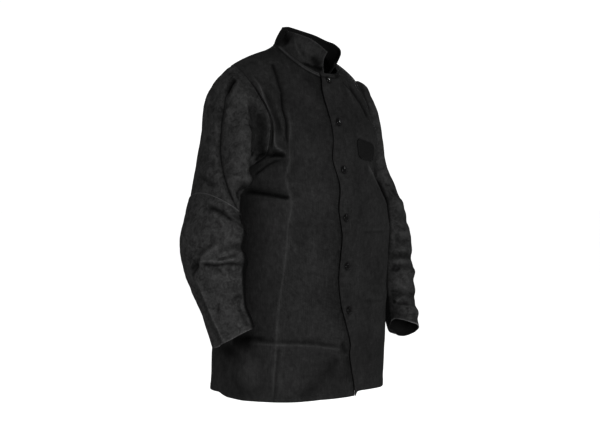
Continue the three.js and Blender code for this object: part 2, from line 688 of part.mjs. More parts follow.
/** A point of the collar: t along it from the right end (negative) over the nape to the left end, h up it. */
function collarPoint(t, h) {
  const side = t < 0 ? RIGHT : LEFT;
  const at = Math.abs(t);
  const foot = collarFoot(side, at);
  foot.z += COLLAR_FOOT;
  const top = side === LEFT
    ? new THREE.Vector3(collar.leftX(at), collar.leftY(at), collar.leftZ(at))
    : new THREE.Vector3(-collar.topX(at), collar.topY(at), collar.topZ(at));
  return foot.lerp(top, h);
}

/** The collar from its right end over the nape to its left end. */
function collarSheet() {
  const end = COLLAR.length - 1;
  const points = grid(COLLAR_ROWS, steps(-end, end, COLLAR_COLUMNS), (t, h) => collarPoint(t, h));
  return faceOut(sheet(points, false, COLLAR_WALL), -1);
}

/** A place on the patch from its corners, with the corners rounded off. */
function patchPlace(i, j) {
  const x = (2 * i) / PATCH_CELLS - 1;
  const y = (2 * j) / PATCH_CELLS - 1;
  const corner = Math.max(0, Math.abs(x) + Math.abs(y) - (2 - 2 * PATCH_ROUND)) / 2;
  const a = (x - Math.sign(x) * corner + 1) / 2;
  const b = (y - Math.sign(y) * corner + 1) / 2;
  const [p, q, r, s] = PATCH_CORNERS;
  const mix = (k) => (1 - b) * ((1 - a) * p[k] + a * q[k]) + b * ((1 - a) * s[k] + a * r[k]);
  return [mix(0), mix(1)];
}

/** The patch, following the left front under it. */
function patchSheet() {
  const cells = steps(0, PATCH_CELLS, PATCH_CELLS);
  const points = grid(cells, cells, (i, j) => foldedPoint('left_front', ...patchPlace(i, j)));
  const piece = faceOut(sheet(points, false, PATCH_WALL), -SURFACES.left_front.facing);
  piece.points.forEach((line, r) => line.forEach((p, c) => {
    p.addScaledVector(piece.normals[r][c], PATCH_GAP + PATCH_WALL);
  }));
  return piece;
}

const seamAtElbow = (q) => elbowSeam(q);
const pieces = {
  back_panel: backSheet(),
  right_front_panel: frontSheet('right_front', () => -UNDERLAP),
  left_front_panel: frontSheet('left_front', (v) => freeEdgeX(v)),
  right_upper_sleeve: sleeveSheet('right_sleeve', UPPER_RINGS, () => 0, seamAtElbow),
  right_forearm: sleeveSheet('right_sleeve', FOREARM_RINGS, seamAtElbow, () => CUFF),
  left_upper_sleeve: sleeveSheet('left_sleeve', UPPER_RINGS, () => 0, seamAtElbow),
  left_forearm: sleeveSheet('left_sleeve', FOREARM_RINGS, seamAtElbow, () => CUFF),
};
matchSeams(Object.values(pieces));
pullBack(pieces.back_panel.points, 'first');
pullBack(pieces.back_panel.points, 'last');
pullBack(pieces.right_front_panel.points, 'last');
pullBack(pieces.left_front_panel.points, 'last');
for (const side of ['right', 'left']) {
  pullBack(pieces[`${side}_upper_sleeve`].points, 'top');
  pullBack(pieces[`${side}_upper_sleeve`].points, 'bottom');
  pullBack(pieces[`${side}_forearm`].points, 'top');
}
pieces.collar = collarSheet();
pieces.chest_patch = patchSheet();

const snapSeats = SNAP_SECTIONS.map((v) => seatOn('left_front', SNAP_X, v));
const studSeats = SNAP_SECTIONS.map((v) => seatOn('right_front', SNAP_X, v));

const MATERIALS = {
  cotton: new THREE.MeshStandardMaterial({ name: 'cotton', color: 0x232323, roughness: 0.9 }),
  leather: new THREE.MeshStandardMaterial({ name: 'leather', color: 0x2a2a2a, roughness: 0.85 }),
  snap_metal: new THREE.MeshStandardMaterial({ name: 'snap_metal', color: 0x161616, roughness: 0.3 }),
  patch: new THREE.MeshStandardMaterial({ name: 'patch', color: 0x111111, roughness: 0.7 }),
};
const MADE_OF = {
  back_panel: 'cotton',
  right_front_panel: 'cotton',
  left_front_panel: 'cotton',
  collar: 'cotton',
  right_upper_sleeve: 'leather',
  right_forearm: 'leather',
  left_upper_sleeve: 'leather',
  left_forearm: 'leather',
  chest_patch: 'patch',
};

const jacket = new THREE.Group();
jacket.name = 'welding_jacket';

/** Adds a named piece to the jacket. */
function add(name, geometry, material) {
  const mesh = new THREE.Mesh(geometry, MATERIALS[material]);
  mesh.name = name;
  jacket.add(mesh);
}

for (const [name, piece] of Object.entries(pieces)) {
  const seats = { left_front_panel: snapSeats, right_front_panel: studSeats }[name];
  const geometry = sheetGeometry(piece);
  add(name, seats ? bored(geometry, seats) : geometry, MADE_OF[name]);
}
snapSeats.forEach((seat, i) => {
  add(`snap_${i + 1}`, turned(snapProfile(), SNAP_SIDES, seat.point, seat.axis), 'snap_metal');
});
studSeats.forEach((seat, i) => {
  add(`stud_${i + 1}`, turned(studProfile(), STUD_SIDES, seat.point, seat.axis), 'snap_metal');
});

export default jacket;
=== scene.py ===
"""A work jacket with a cotton body and split-leather sleeves, in the shape it takes when worn.

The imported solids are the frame. Every cloth and leather piece is laid again as a fine sheet on the same
form, with its folds, seams, hems and stitching, and the snaps are modelled with their rims and domes.
Lengths are in millimetres until a mesh is made, which is in metres.
"""

import logging
import math
from dataclasses import dataclass, field
from enum import Enum
from typing import Callable, Mapping, Sequence

import bpy
import numpy as np
from mathutils import Matrix, Vector

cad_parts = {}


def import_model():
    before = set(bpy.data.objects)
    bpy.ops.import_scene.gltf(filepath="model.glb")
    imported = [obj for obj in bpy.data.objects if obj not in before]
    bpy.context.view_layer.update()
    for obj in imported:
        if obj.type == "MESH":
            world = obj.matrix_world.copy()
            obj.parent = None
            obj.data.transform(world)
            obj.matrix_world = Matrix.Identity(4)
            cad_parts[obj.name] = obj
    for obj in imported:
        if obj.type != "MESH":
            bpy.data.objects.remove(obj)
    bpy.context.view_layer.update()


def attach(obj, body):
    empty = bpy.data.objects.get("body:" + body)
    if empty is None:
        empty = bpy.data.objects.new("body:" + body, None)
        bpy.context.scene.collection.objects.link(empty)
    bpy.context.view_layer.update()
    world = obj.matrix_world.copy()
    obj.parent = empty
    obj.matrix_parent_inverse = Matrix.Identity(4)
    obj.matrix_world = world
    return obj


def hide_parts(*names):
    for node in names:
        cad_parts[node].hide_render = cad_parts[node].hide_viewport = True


LOG = logging.getLogger("jacket")
MM = 0.001
BODY_NAME = "root"

Array = np.ndarray
Line = Sequence[tuple[float, float]]
Form = Callable[[Array, Array], Array]
Socket = bpy.types.NodeSocket
Material = bpy.types.Material
Object = bpy.types.Object


class Side(Enum):
    """The jacket's own two sides, as the sign of X."""

    RIGHT = -1
    LEFT = 1


class Half(Enum):
    """The two halves of a body section."""

    FRONT = "front"
    BACK = "back"


class Edge(Enum):
    """The edges of a sheet's grid."""

    TOP = "top"
    BOTTOM = "bottom"
    FIRST = "first"
    LAST = "last"


class Profile(Enum):
    """The cross-section of a fold: a soft swell or a pressed crease."""

    SOFT = "soft"
    PRESSED = "pressed"


class Slot(Enum):
    """The material slots of the pieces."""

    COTTON = "cotton"
    LEATHER = "leather"
    SNAP = "snap_metal"
    PATCH = "patch"


# The jacket's form, section by section and ring by ring, as in the part's source.

NECK, SHOULDER_TIP, ARMPIT, HEM = 0, 2, 6, 9

SECTION_COLUMNS = ("sideX", "sway", "roll")
SECTIONS = (
    (74, 0, -0.050),
    (131, -2, -0.052),
    (184, -5, -0.042),
    (165, -5, -0.030),
    (150, -5, -0.020),
    (160, -4, -0.012),
    (184, -3, -0.008),
    (195, 0, 0),
    (198, -2, 0),
    (199, -12, 0.030),
)

HALF_COLUMNS = ("centreY", "centreZ", "sideY", "sideZ", "reach", "pullX", "pullY", "pullZ")
FRONT_ROWS = (
    (-82, -66, -18, -8, 42, 0, -36, -28),
    (-99, -102, -8, -29, 75, -6, -45, -20),
    (-112, -138, 6, -58, 108, -16, -44, -34),
    (-122, -174, -46, -108, 110, -14, -30, -24),
    (-129, -216, -77, -180, 108, -18, -30, -8),
    (-134, -256, -76, -236, 108, -16, -30, -4),
    (-138, -296, 4, -276, 126, 4, -94, 0),
    (-143, -390, 4, -390, 144, 4, -109, 0),
    (-150, -540, 2, -540, 148, 4, -114, 0),
    (-160, -756, 0, -745, 136, 2, -106, 0),
)
BACK_ROWS = (
    (50, 0, -18, -8, 42, 0, 36, 6),
    (72, -34, -8, -29, 80, -2, 42, -14),
    (96, -80, 6, -58, 120, -6, 48, -30),
    (114, -124, 66, -112, 122, -28, 28, -10),
    (126, -178, 92, -180, 120, -34, 20, 0),
    (130, -236, 76, -240, 124, -16, 36, 0),
    (130, -284, 4, -276, 128, 6, 86, 0),
    (130, -390, 4, -390, 134, 4, 88, 0),
    (130, -540, 2, -540, 136, 4, 90, 0),
    (140, -744, 0, -745, 134, 4, 96, 0),
)

RING_COLUMNS = ("outX", "outY", "outZ", "inX", "inY", "inZ", "lean", "toe", "fore", "aft")
RINGS = (
    (203, 9, -76, 194, 5, -281, 0, 0, 74, 78),
    (217, 15, -104, 197, 6, -289, 0, 0, 74, 72),
    (227, 20, -150, 198, 8, -299, 0, 0, 74, 66),
    (235, 23, -206, 199, 10, -310, 0, 0, 76, 66),
    (248, 20, -262, 200, 10, -324, 0, 0, 76, 68),
    (266, 11, -318, 202, 8, -344, 2, 0, 74, 72),
    (283, 4, -366, 204, 4, -376, 4, 4, 76, 80),
    (295, 0, -412, 205, 0, -414, 10, 8, 80, 86),
    (297, -10, -456, 207, -10, -454, 16, 12, 76, 82),
    (294, -24, -502, 210, -24, -498, 22, 18, 62, 70),
    (288, -48, -566, 215, -48, -562, 24, 26, 47, 56),
    (281, -66, -620, 217, -66, -616, 22, 32, 42, 50),
)
CUFF = len(RINGS)
LEFT_ARM_SHOULDER = np.array((-3.0, 6.0, 0.0))
LEFT_ARM_CUFF = np.array((9.0, -14.0, -16.0))
ARM_LOOSE_FROM, ARM_LOOSE_OVER = -180.0, 430.0
SET_SWAY, SET_ROLL, SET_FROM, SET_TO = -5.0, -0.034, -120.0, -420.0
LEFT_ELBOW_SEAM = (6.62, 0.8, 0.88)

COLLAR_COLUMNS = ("topX", "topY", "topZ", "leftX", "leftY", "leftZ")
COLLAR_ROWS = (
    (0, 36, 47, 0, 36, 47),
    (30, 24, 44, 30, 24, 39),
    (52, 2, 39, 52, 2, 28),
    (64, -25, 31, 64, -25, 14),
    (64, -52, 24, 66, -52, 7),
    (46, -83, 10, 56, -80, 0),
    (13, -102, -11, 30, -100, -5),
)
COLLAR_BACK_PLACES = (0, 0.3, 0.65, 1, 1, 1, 1)
COLLAR_FRONT_PLACES = (1, 1, 1, 1, 0.72, 0.38, 0.03)
COLLAR_NECK_POINT = 3
COLLAR_END = 6
COLLAR_MIDDLE = np.array((0.0, -25.0, 0.0))

LEFT_SHOULDER_DROP = (9, 6, 0, 0, 0)
LEFT_SHOULDER_IN = (9, 3, 0, 0, 0)
RIGHT_SHOULDER_DROP = (0, -1.5, -3.0, 0, 0)
UNDERLAP = 22.0
FLAP_LIFT, FLAP_FLAT_TO, FLAP_GONE_BY = 5.0, 12.0, 75.0
EDGE_WAVE, EDGE_WAVE_SWING, EDGE_WAVE_SIZE, EDGE_WAVE_REACH = 1.2, 1.8, 45, 14.0
TIP_DROP, TIP_REACH = 9.0, (4.0, 12.0)

SNAP_X = -4.0
SNAP_SECTIONS = (0.37, 2.88, 5.42, 6.86, 7.63, 8.17)


def smoothstep(x: Array, low: float, high: float) -> Array:
    """A smooth rise from 0 at low to 1 at high."""
    t = np.clip((np.asarray(x, float) - low) / (high - low), 0.0, 1.0)
    return t * t * (3.0 - 2.0 * t)


def window(x: Array, opens: float, full: float, fades: float, shut: float) -> Array:
    """A smooth rise from 0 to 1 and a fall back to 0, over four places in order."""
    return smoothstep(x, opens, full) * (1 - smoothstep(x, fades, shut))


def bell(x: Array, middle: float, width: float) -> Array:
    """A smooth bump of height 1 about a middle, down to 0.37 at its width."""
    return np.exp(-((x - middle) / width) ** 2)


def unit(vectors: Array) -> Array:
    """Vectors at length one."""
    return vectors / np.maximum(np.linalg.norm(vectors, axis=-1, keepdims=True), 1e-9)


def run_lengths(points: Array) -> Array:
    """The length along a line from its first point to each of its points."""
    return np.concatenate(([0.0], np.cumsum(np.linalg.norm(np.diff(points, axis=0), axis=1))))


@dataclass(frozen=True)
class StationCurve:
    """A smooth curve through values at whole-number stations, without overshoot.

    Attributes:
        values: The value at each station.
        first: The number of the first station.
        corners: Stations, counted from zero, where the curve may turn sharply.
    """

    values: tuple[float, ...]
    first: float = 0.0
    corners: tuple[int, ...] = ()

    @staticmethod
    def _end_rate(nearest: float, following: float) -> float:
        """The rate at an end, kept from overshooting."""
        rate = (3 * nearest - following) / 2
        if rate * nearest <= 0:
            return 0.0
        if nearest * following < 0 and abs(rate) > 3 * abs(nearest):
            return 3 * nearest
        return rate

    def _rates(self, y: Array) -> Array:
        """The rate of change at each station of one smooth stretch."""
        slope = np.diff(y)
        rate = np.zeros(len(y))
        rate[0] = self._end_rate(slope[0], slope[1] if len(slope) > 1 else slope[0])
        rate[-1] = self._end_rate(slope[-1], slope[-2] if len(slope) > 1 else slope[-1])
        for i in range(1, len(y) - 1):
            before, after = slope[i - 1], slope[i]
            rate[i] = 2 * before * after / (before + after) if before * after > 0 else 0.0
        return rate

    def __call__(self, at: Array) -> Array:
        """The curve's value.

        Args:
            at: Station numbers, whole or not.

        Returns:
            The values there; beyond the ends, the end values.
        """
        y = np.asarray(self.values, float)
        last = len(y) - 1
        place = np.clip(np.asarray(at, float) - self.first, 0.0, last)
        result = np.empty_like(place)
        stops = [0, *self.corners, last]
        for low, high in zip(stops[:-1], stops[1:]):
            part = y[low:high + 1]
            rate = self._rates(part)
            inside = (place >= low) & (place <= high)
            local = place[inside] - low
            i = np.minimum(local.astype(int), len(part) - 2)
            t = local - i
            t2, t3 = t * t, t * t * t
            result[inside] = (
                (2 * t3 - 3 * t2 + 1) * part[i] + (t3 - 2 * t2 + t) * rate[i]
                + (3 * t2 - 2 * t3) * part[i + 1] + (t3 - t2) * rate[i + 1]
            )
        return result


def station_curves(
    columns: Sequence[str], rows: Sequence[Sequence[float]], first: float = 0.0,
) -> dict[str, StationCurve]:
    """A curve for each column of a table; the side seams' turn at the shoulder tip and the armpit."""
    return {
        name: StationCurve(
            tuple(float(row[i]) for row in rows),
            first,
            (SHOULDER_TIP, ARMPIT) if name.startswith("side") else (),
        )
        for i, name in enumerate(columns)
    }


class JacketForm:
    """The smooth form of the jacket: points of the body, the sleeves and the collar, in millimetres."""

    def __init__(self) -> None:
        """Lays the curves through the tables."""
        self.section = station_curves(SECTION_COLUMNS, SECTIONS)
        self.halves = {
            Half.FRONT: station_curves(HALF_COLUMNS, FRONT_ROWS),
            Half.BACK: station_curves(HALF_COLUMNS, BACK_ROWS),
        }
        self.ring = station_curves(RING_COLUMNS, RINGS, 1.0)
        self.collar = station_curves(COLLAR_COLUMNS, COLLAR_ROWS)
        self.left_drop = StationCurve(LEFT_SHOULDER_DROP)
        self.right_drop = StationCurve(RIGHT_SHOULDER_DROP)
        self.shoulder_in = StationCurve(LEFT_SHOULDER_IN)

    def body(self, half: Half, side: Array | int, s: Array, v: Array) -> Array:
        """Points of the body.

        Args:
            half: The front or the back of the section.
            side: The sign of X, one for all or one for each point.
            s: Place from the centre line (0) to the side (1); below 0 it runs on past the centre line.
            v: Section number, from the neckline to the hem.

        Returns:
            The points, with a last axis of three.
        """
        s, v = np.broadcast_arrays(np.asarray(s, float), np.asarray(v, float))
        h = {name: curve(v) for name, curve in self.halves[half].items()}
        left = np.where(np.asarray(side) > 0, 1.0, 0.0)
        side_x = self.section["sideX"](v) - left * self.shoulder_in(v)
        side_z = h["sideZ"] - left * self.left_drop(v) - (1 - left) * self.right_drop(v)
        zero = np.zeros_like(v)
        centre = np.stack((zero, h["centreY"], h["centreZ"]), -1)
        edge = np.stack((side_x, h["sideY"], side_z), -1)
        middle = centre + np.stack((h["reach"], zero, zero), -1)
        corner = edge + np.stack((h["pullX"], h["pullY"], h["pullZ"]), -1)
        t = np.maximum(s, 0.0)[..., None]
        r = 1.0 - t
        p = r**3 * centre + 3 * r * r * t * middle + 3 * r * t * t * corner + t**3 * edge
        p[..., 0] += 3 * h["reach"] * np.minimum(s, 0.0)
        p[..., 0] *= side
        p[..., 2] += p[..., 0] * self.section["roll"](v)
        p[..., 0] += self.section["sway"](v)
        return p

    def start_across(self, x: Array, v: Array) -> Array:
        """The place across at which a front starts, for a distance from the centre line."""
        return np.asarray(x, float) / (3 * self.halves[Half.FRONT]["reach"](v))

    def armhole(self, side: Side, q: Array) -> Array:
        """Points of an armhole: q goes round from the shoulder tip by the front, the armpit and the back."""
        turn = np.mod(q, 1.0)
        depth = SHOULDER_TIP + (ARMPIT - SHOULDER_TIP) * 2 * np.minimum(turn, 1 - turn)
        front = self.body(Half.FRONT, side.value, np.ones_like(depth), depth)
        back = self.body(Half.BACK, side.value, np.ones_like(depth), depth)
        return np.where((turn <= 0.5)[..., None], front, back)

    def sleeve(self, side: Side, q: Array, u: Array) -> Array:
        """Points of a sleeve.

        Args:
            side: Which sleeve.
            q: Share of the way round: 0 outside, 0.25 front, 0.5 inside.
            u: Ring number, 0 at the armhole.

        Returns:
            The points, with a last axis of three.
        """
        q, u = np.broadcast_arrays(np.asarray(q, float), np.asarray(u, float))
        ring = {name: curve(np.maximum(u, 1.0)) for name, curve in self.ring.items()}
        lean, toe = np.radians(ring["lean"]), np.radians(ring["toe"])
        out = np.stack((ring["outX"], ring["outY"], ring["outZ"]), -1)
        inner = np.stack((ring["inX"], ring["inY"], ring["inZ"]), -1)
        centre = (out + inner) / 2
        fore = np.stack((-np.sin(toe) * np.cos(lean), -np.cos(toe) * np.cos(lean), np.sin(lean)), -1)
        arm = (out - inner) / 2
        arm = arm - fore * np.sum(arm * fore, -1, keepdims=True)
        if side is Side.LEFT:
            loose = np.clip((ARM_LOOSE_FROM - centre[..., 2:]) / ARM_LOOSE_OVER, 0, 1.05)
            centre = centre + LEFT_ARM_SHOULDER + (LEFT_ARM_CUFF - LEFT_ARM_SHOULDER) * loose
        angle = 2 * math.pi * q
        reach = np.where(np.sin(angle) > 0, ring["fore"], ring["aft"])
        p = centre + arm * np.cos(angle)[..., None] + fore * (reach * np.sin(angle))[..., None]
        p[..., 0] *= side.value
        held = np.clip((p[..., 2] - SET_TO) / (SET_FROM - SET_TO), 0, 1)
        p[..., 2] += p[..., 0] * SET_ROLL * held
        p[..., 0] += SET_SWAY * held
        blend = np.clip(u, 0, 1)[..., None]
        return self.armhole(side, q) * (1 - blend) + p * blend

    def collar_foot(self, t: Array) -> Array:
        """Points of the neckline under the collar: t from the right end (negative) to the left end."""
        t = np.asarray(t, float)
        at, side = np.abs(t), np.where(t < 0, -1.0, 1.0)
        stations = np.arange(COLLAR_END + 1)
        back = self.body(Half.BACK, side, np.interp(at, stations, COLLAR_BACK_PLACES), np.zeros_like(at))
        front = self.body(Half.FRONT, side, np.interp(at, stations, COLLAR_FRONT_PLACES), np.zeros_like(at))
        return np.where((at <= COLLAR_NECK_POINT)[..., None], back, front)

    def collar_top(self, t: Array) -> Array:
        """Points of the collar's top edge."""
        t = np.asarray(t, float)
        c = {name: curve(np.abs(t)) for name, curve in self.collar.items()}
        right = np.stack((-c["topX"], c["topY"], c["topZ"]), -1)
        left = np.stack((c["leftX"], c["leftY"], c["leftZ"]), -1)
        return np.where((t < 0)[..., None], right, left)


HASH_PRIMES = np.array((73856093, 19349663, 83492791), np.int64)
HASH_SEED = 7919
HASH_ROUNDS = ((15, 739982445), (12, 695872825))


def lattice_noise(points: Array, size: float, seed: int) -> Array:
    """Smooth lumps from -1 to 1, the same on every run.

    Args:
        points: Places, with a last axis of three.
        size: The rough size of a lump, in millimetres.
        seed: Which of many patterns.

    Returns:
        One value for each point.
    """
    p = points / size
    cell = np.floor(p).astype(np.int64)
    f = p - cell
    f = f * f * (3.0 - 2.0 * f)
    mask = np.int64(0xFFFFFFFF)
    total = np.zeros(points.shape[:-1])
    for corner in range(8):
        step = np.array((corner & 1, corner >> 1 & 1, corner >> 2 & 1), np.int64)
        at = cell + step
        mixed = at * HASH_PRIMES
        h = mixed[..., 0] ^ mixed[..., 1] ^ mixed[..., 2] ^ np.int64(seed * HASH_SEED)
        h &= mask
        for shift, factor in HASH_ROUNDS:
            h = ((h ^ (h >> shift)) * np.int64(factor)) & mask
        h ^= h >> 15
        weight = np.prod(np.where(step == 1, f, 1.0 - f), axis=-1)
        total += weight * (h / 2.0**31 - 1.0)
    return total


def smooth_run(points: Array, steps: int = 6) -> Array:
    """A smooth run of many points through a few.

    Args:
        points: The points to pass through, one row each.
        steps: Points for each span.

    Returns:
        The run, one row for each point.
    """
    p = np.asarray(points, float)
    if len(p) < 3:
        return p[0] + (p[-1] - p[0]) * np.linspace(0, 1, 2 * steps)[:, None]
    padded = np.vstack((2 * p[0] - p[1], p, 2 * p[-1] - p[-2]))
    made = []
    for i in range(1, len(padded) - 2):
        a, b, c, d = padded[i - 1:i + 3]
        t = np.arange(steps)[:, None] / steps
        square, cube = 2 * a - 5 * b + 4 * c - d, 3 * b - a - 3 * c + d
        made.append(0.5 * (2 * b + (c - a) * t + square * t**2 + cube * t**3))
    return np.vstack((*made, p[-1:]))


FOLD_REACH = 3.2
CREASE_RATE = 1.6


@dataclass(frozen=True)
class Fold:
    """A ridge, or a groove when the height is negative, along a line on a sheet.

    Attributes:
        height: How far it stands out, in millimetres.
        width: How far it reaches to each side.
        line: Its points, as places across and down the sheet.
        profile: Its cross-section.
        ends: The share of the line over which it grows at its first end and dies at its last.
        lean: The reach on the line's right as a share of the reach on its left.
        rub: How pale the crest is, from 0 to 1: partly from wearing, partly painted highlight.
        soot: How dark the bottom of a groove is painted, as shade, from 0 to 1.
    """

    height: float
    width: float
    line: Line
    profile: Profile = Profile.SOFT
    ends: tuple[float, float] = (0.25, 0.25)
    lean: float = 1.0
    rub: float = 0.0
    soot: float = 0.0

    def fine_line(self, closed: bool) -> Array:
        """The line as a smooth run of places; closed where 0.95 across is next to 0.05."""
        p = np.array(self.line, float)
        if closed:
            p[:, 0] = p[0, 0] + np.concatenate(([0.0], np.cumsum((np.diff(p[:, 0]) + 0.5) % 1.0 - 0.5)))
        return smooth_run(p)

    def shape(self, points: Array, normals: Array, line: Array) -> Array:
        """How much of the fold is at each point, from 0 to 1.

        Args:
            points: The sheet's points, one row each.
            normals: Its outward directions.
            line: The fold's line, laid on the sheet.

        Returns:
            One value for each point.
        """
        far = FOLD_REACH * self.width
        low, high = line.min(0) - far, line.max(0) + far
        near = np.flatnonzero(np.all((points > low) & (points < high), axis=1))
        made = np.zeros(len(points))
        if not len(near):
            return made
        p, n = points[near], normals[near]
        gone = run_lengths(line)
        lengths = np.diff(gone)
        gone = gone / max(gone[-1], 1e-6)
        least = np.full(len(p), np.inf)
        along = np.zeros(len(p))
        right = np.zeros(len(p), bool)
        for i, length in enumerate(lengths):
            if length < 1e-6:
                continue
            d = (line[i + 1] - line[i]) / length
            rel = p - line[i]
            t = np.clip(rel @ d, 0, length)
            off = rel - t[:, None] * d
            dist = np.linalg.norm(off, axis=1)
            better = dist < least
            least = np.where(better, dist, least)
            along = np.where(better, gone[i] + (gone[i + 1] - gone[i]) * t / length, along)
            turn = np.sum(np.cross(np.broadcast_to(d, off.shape), off) * n, axis=1)
            right = np.where(better, turn < 0, right)
        reach = least / (self.width * np.where(right, self.lean, 1.0))
        value = np.exp(-reach * reach) if self.profile is Profile.SOFT else np.exp(-CREASE_RATE * reach)
        first, last = (max(share, 1e-3) for share in self.ends)
        made[near] = value * smoothstep(along, 0, first) * smoothstep(1 - along, 0, last)
        return made


STRIP_SET_BACK = 0.3


class Sheet:
    """A piece of cloth or leather as a grid of points on a form, with its outward directions."""

    def __init__(
        self, name: str, form: Form, across: Array, down: Array, facing: int, closed: bool = False,
    ) -> None:
        """Lays the grid on the form.

        Args:
            name: The piece's name.
            form: Gives points for places across and down.
            across: Places across, rows by columns.
            down: Places down, rows by columns.
            facing: 1 or -1, so that the grid's own direction points out of the jacket.
            closed: True where the columns go all the way round.
        """
        self.name = name
        self.form = form
        self.across, self.down = np.broadcast_arrays(across, down)
        self.facing = facing
        self.closed = closed
        self.points = form(self.across, self.down)
        # How pale each point is from wearing and painted highlight, and how dark from painted shade.
        self.rub = np.zeros(self.across.shape)
        self.soot = np.zeros(self.across.shape)
        self.normals = self._directions()
        self.lengths_across = self._run(axis=1)
        self.lengths_down = self._run(axis=0)

    def _directions(self) -> Array:
        """The outward direction at each point of the grid."""
        if self.closed:
            along_row = np.roll(self.points, -1, axis=1) - np.roll(self.points, 1, axis=1)
        else:
            along_row = np.gradient(self.points, axis=1)
        down_column = np.gradient(self.points, axis=0)
        return unit(np.cross(along_row, down_column)) * self.facing

    def _run(self, axis: int) -> Array:
        """The length from the grid's first line to each point, along the grid."""
        step = np.linalg.norm(np.diff(self.points, axis=axis), axis=-1)
        start = np.zeros_like(np.take(step, [0], axis=axis))
        return np.concatenate((start, np.cumsum(step, axis=axis)), axis=axis)

    def refresh(self) -> None:
        """Works out the outward directions again after the points have moved."""
        self.normals = self._directions()

    def margin(self, edge: Edge) -> Array:
        """The distance of each point from an edge, along the grid of the flat form."""
        across, down = self.lengths_across, self.lengths_down
        if edge in (Edge.FIRST, Edge.LAST):
            return across if edge is Edge.FIRST else across[:, -1:] - across
        return down if edge is Edge.TOP else down[-1:] - down

    def rise(self, amount: Array) -> None:
        """Moves every point out by an amount."""
        self.points = self.points + self.normals * np.asarray(amount)[..., None]

    def wear(self, amount: Array) -> None:
        """Makes the sheet paler, from 0 to 1, where it isn't paler already: wearing and painted highlight."""
        self.rub = np.maximum(self.rub, amount)

    def darken(self, amount: Array) -> None:
        """Paints shade on the sheet, from 0 to 1, where there isn't more already."""
        self.soot = np.maximum(self.soot, amount)

    def fold(self, folds: Sequence[Fold], free: Array | float = 1.0) -> None:
        """Adds folds to the sheet.

        Args:
            folds: The folds, whose lines are places on this sheet.
            free: How far each point may move, from 0 at a seam to 1.
        """
        shape = self.across.shape
        flat_points, flat_normals = self.points.reshape(-1, 3), self.normals.reshape(-1, 3)
        total = np.zeros(shape)
        for fold in folds:
            line = fold.fine_line(self.closed)
            laid = self.form(line[:, 0], line[:, 1])
            amount = fold.shape(flat_points, flat_normals, laid).reshape(shape) * free
            total += fold.height * amount
            # Each fold's paleness from wearing and painted highlight, and its painted shade.
            self.wear(fold.rub * amount)
            self.darken(fold.soot * amount)
        self.rise(total)
        self.refresh()

    def relax(self, weight: Array, rounds: int = 60) -> None:
        """Evens the sheet out along its columns, as much as the weight says, from 0 to 1."""
        for _ in range(rounds):
            middle = self.points.copy()
            middle[1:-1] = (self.points[:-2] + self.points[2:]) / 2
            self.points = self.points + (middle - self.points) * (0.5 * weight)[..., None]
        self.refresh()

    def crumple(self, layers: Line, seed: int, free: Array | float = 1.0) -> None:
        """Adds soft unevenness.

        Args:
            layers: Height and size of each layer, in millimetres.
            seed: Which of many patterns the first layer has; each next layer has the next one.
            free: How far each point may move, from 0 to 1.
        """
        total = sum(
            height * lattice_noise(self.points, size, seed + i) for i, (height, size) in enumerate(layers)
        )
        self.rise(total * free)
        self.refresh()

    def band(self, edge: Edge, width: float, height: float, step: float = 2.0) -> None:
        """Raises a strip along an edge, as where the cloth is turned under and doubled."""
        self.rise(height * (1 - smoothstep(self.margin(edge), width - step, width + step)))

    def press(self, edge: Edge, inset: float, depth: float, width: float) -> None:
        """Presses a fine valley along an edge, as a row of stitching does."""
        offset = (self.margin(edge) - inset) / width
        self.rise(-depth * np.exp(-offset * offset))

    def extend(self, edge: Edge, line: Array, width: Array | float) -> None:
        """Adds one more line of points beyond an edge.

        Args:
            edge: The edge that the line goes beside.
            line: Its points.
            width: Its distance from the edge, the same all along or one value for each point.
        """
        first, axis = edge in (Edge.FIRST, Edge.TOP), 1 if edge in (Edge.FIRST, Edge.LAST) else 0
        step = np.broadcast_to(np.asarray(width, float), len(line)) * (-1 if first else 1)
        for key in ("points", "across", "down", "rub", "soot", "lengths_across", "lengths_down"):
            old = getattr(self, key)
            new = line if key == "points" else np.take(old, 0 if first else -1, axis=axis)
            if key == ("lengths_across" if axis == 1 else "lengths_down"):
                new = new + step
            new = np.expand_dims(new, axis)
            setattr(self, key, np.concatenate((new, old) if first else (old, new), axis=axis))

    def tuck(
        self, edge: Edge, back: float = 0.4, down: Array | float = 1.0, allowance: Array | float = 5.0,
        ledge: Array | float = 0.0,
    ) -> None:
        """Rolls an edge into its seam and adds the strip of cloth that lies inside.

        Args:
            edge: The edge that is sewn.
            back: How far the edge stands back from the seam line.
            down: How far it dips into the seam, one value or one for each point of the edge.
            allowance: The depth of the strip inside, given in the same way.
            ledge: How far the strip then runs on under the neighbour, given in the same way.
        """
        axis, index, inner = {
            Edge.FIRST: (1, 0, 1), Edge.LAST: (1, -1, -2), Edge.TOP: (0, 0, 1), Edge.BOTTOM: (0, -1, -2),
        }[edge]
        rim = np.take(self.points, index, axis=axis)
        towards = unit(np.take(self.points, inner, axis=axis) - rim)
        normal = np.take(self.normals, index, axis=axis)
        dip, depth, reach = (
            np.broadcast_to(np.asarray(a, float), len(rim)) for a in (down, allowance, ledge)
        )
        rim = rim + towards * back - normal * dip[:, None]
        where: list = [slice(None)] * 3
        where[axis] = index
        self.points[tuple(where)] = rim
        strip = rim - normal * depth[:, None] + towards * STRIP_SET_BACK
        self.extend(edge, strip, depth)
        if reach.max() > 0:
            self.extend(edge, strip - towards * reach[:, None], reach)
        self.refresh()

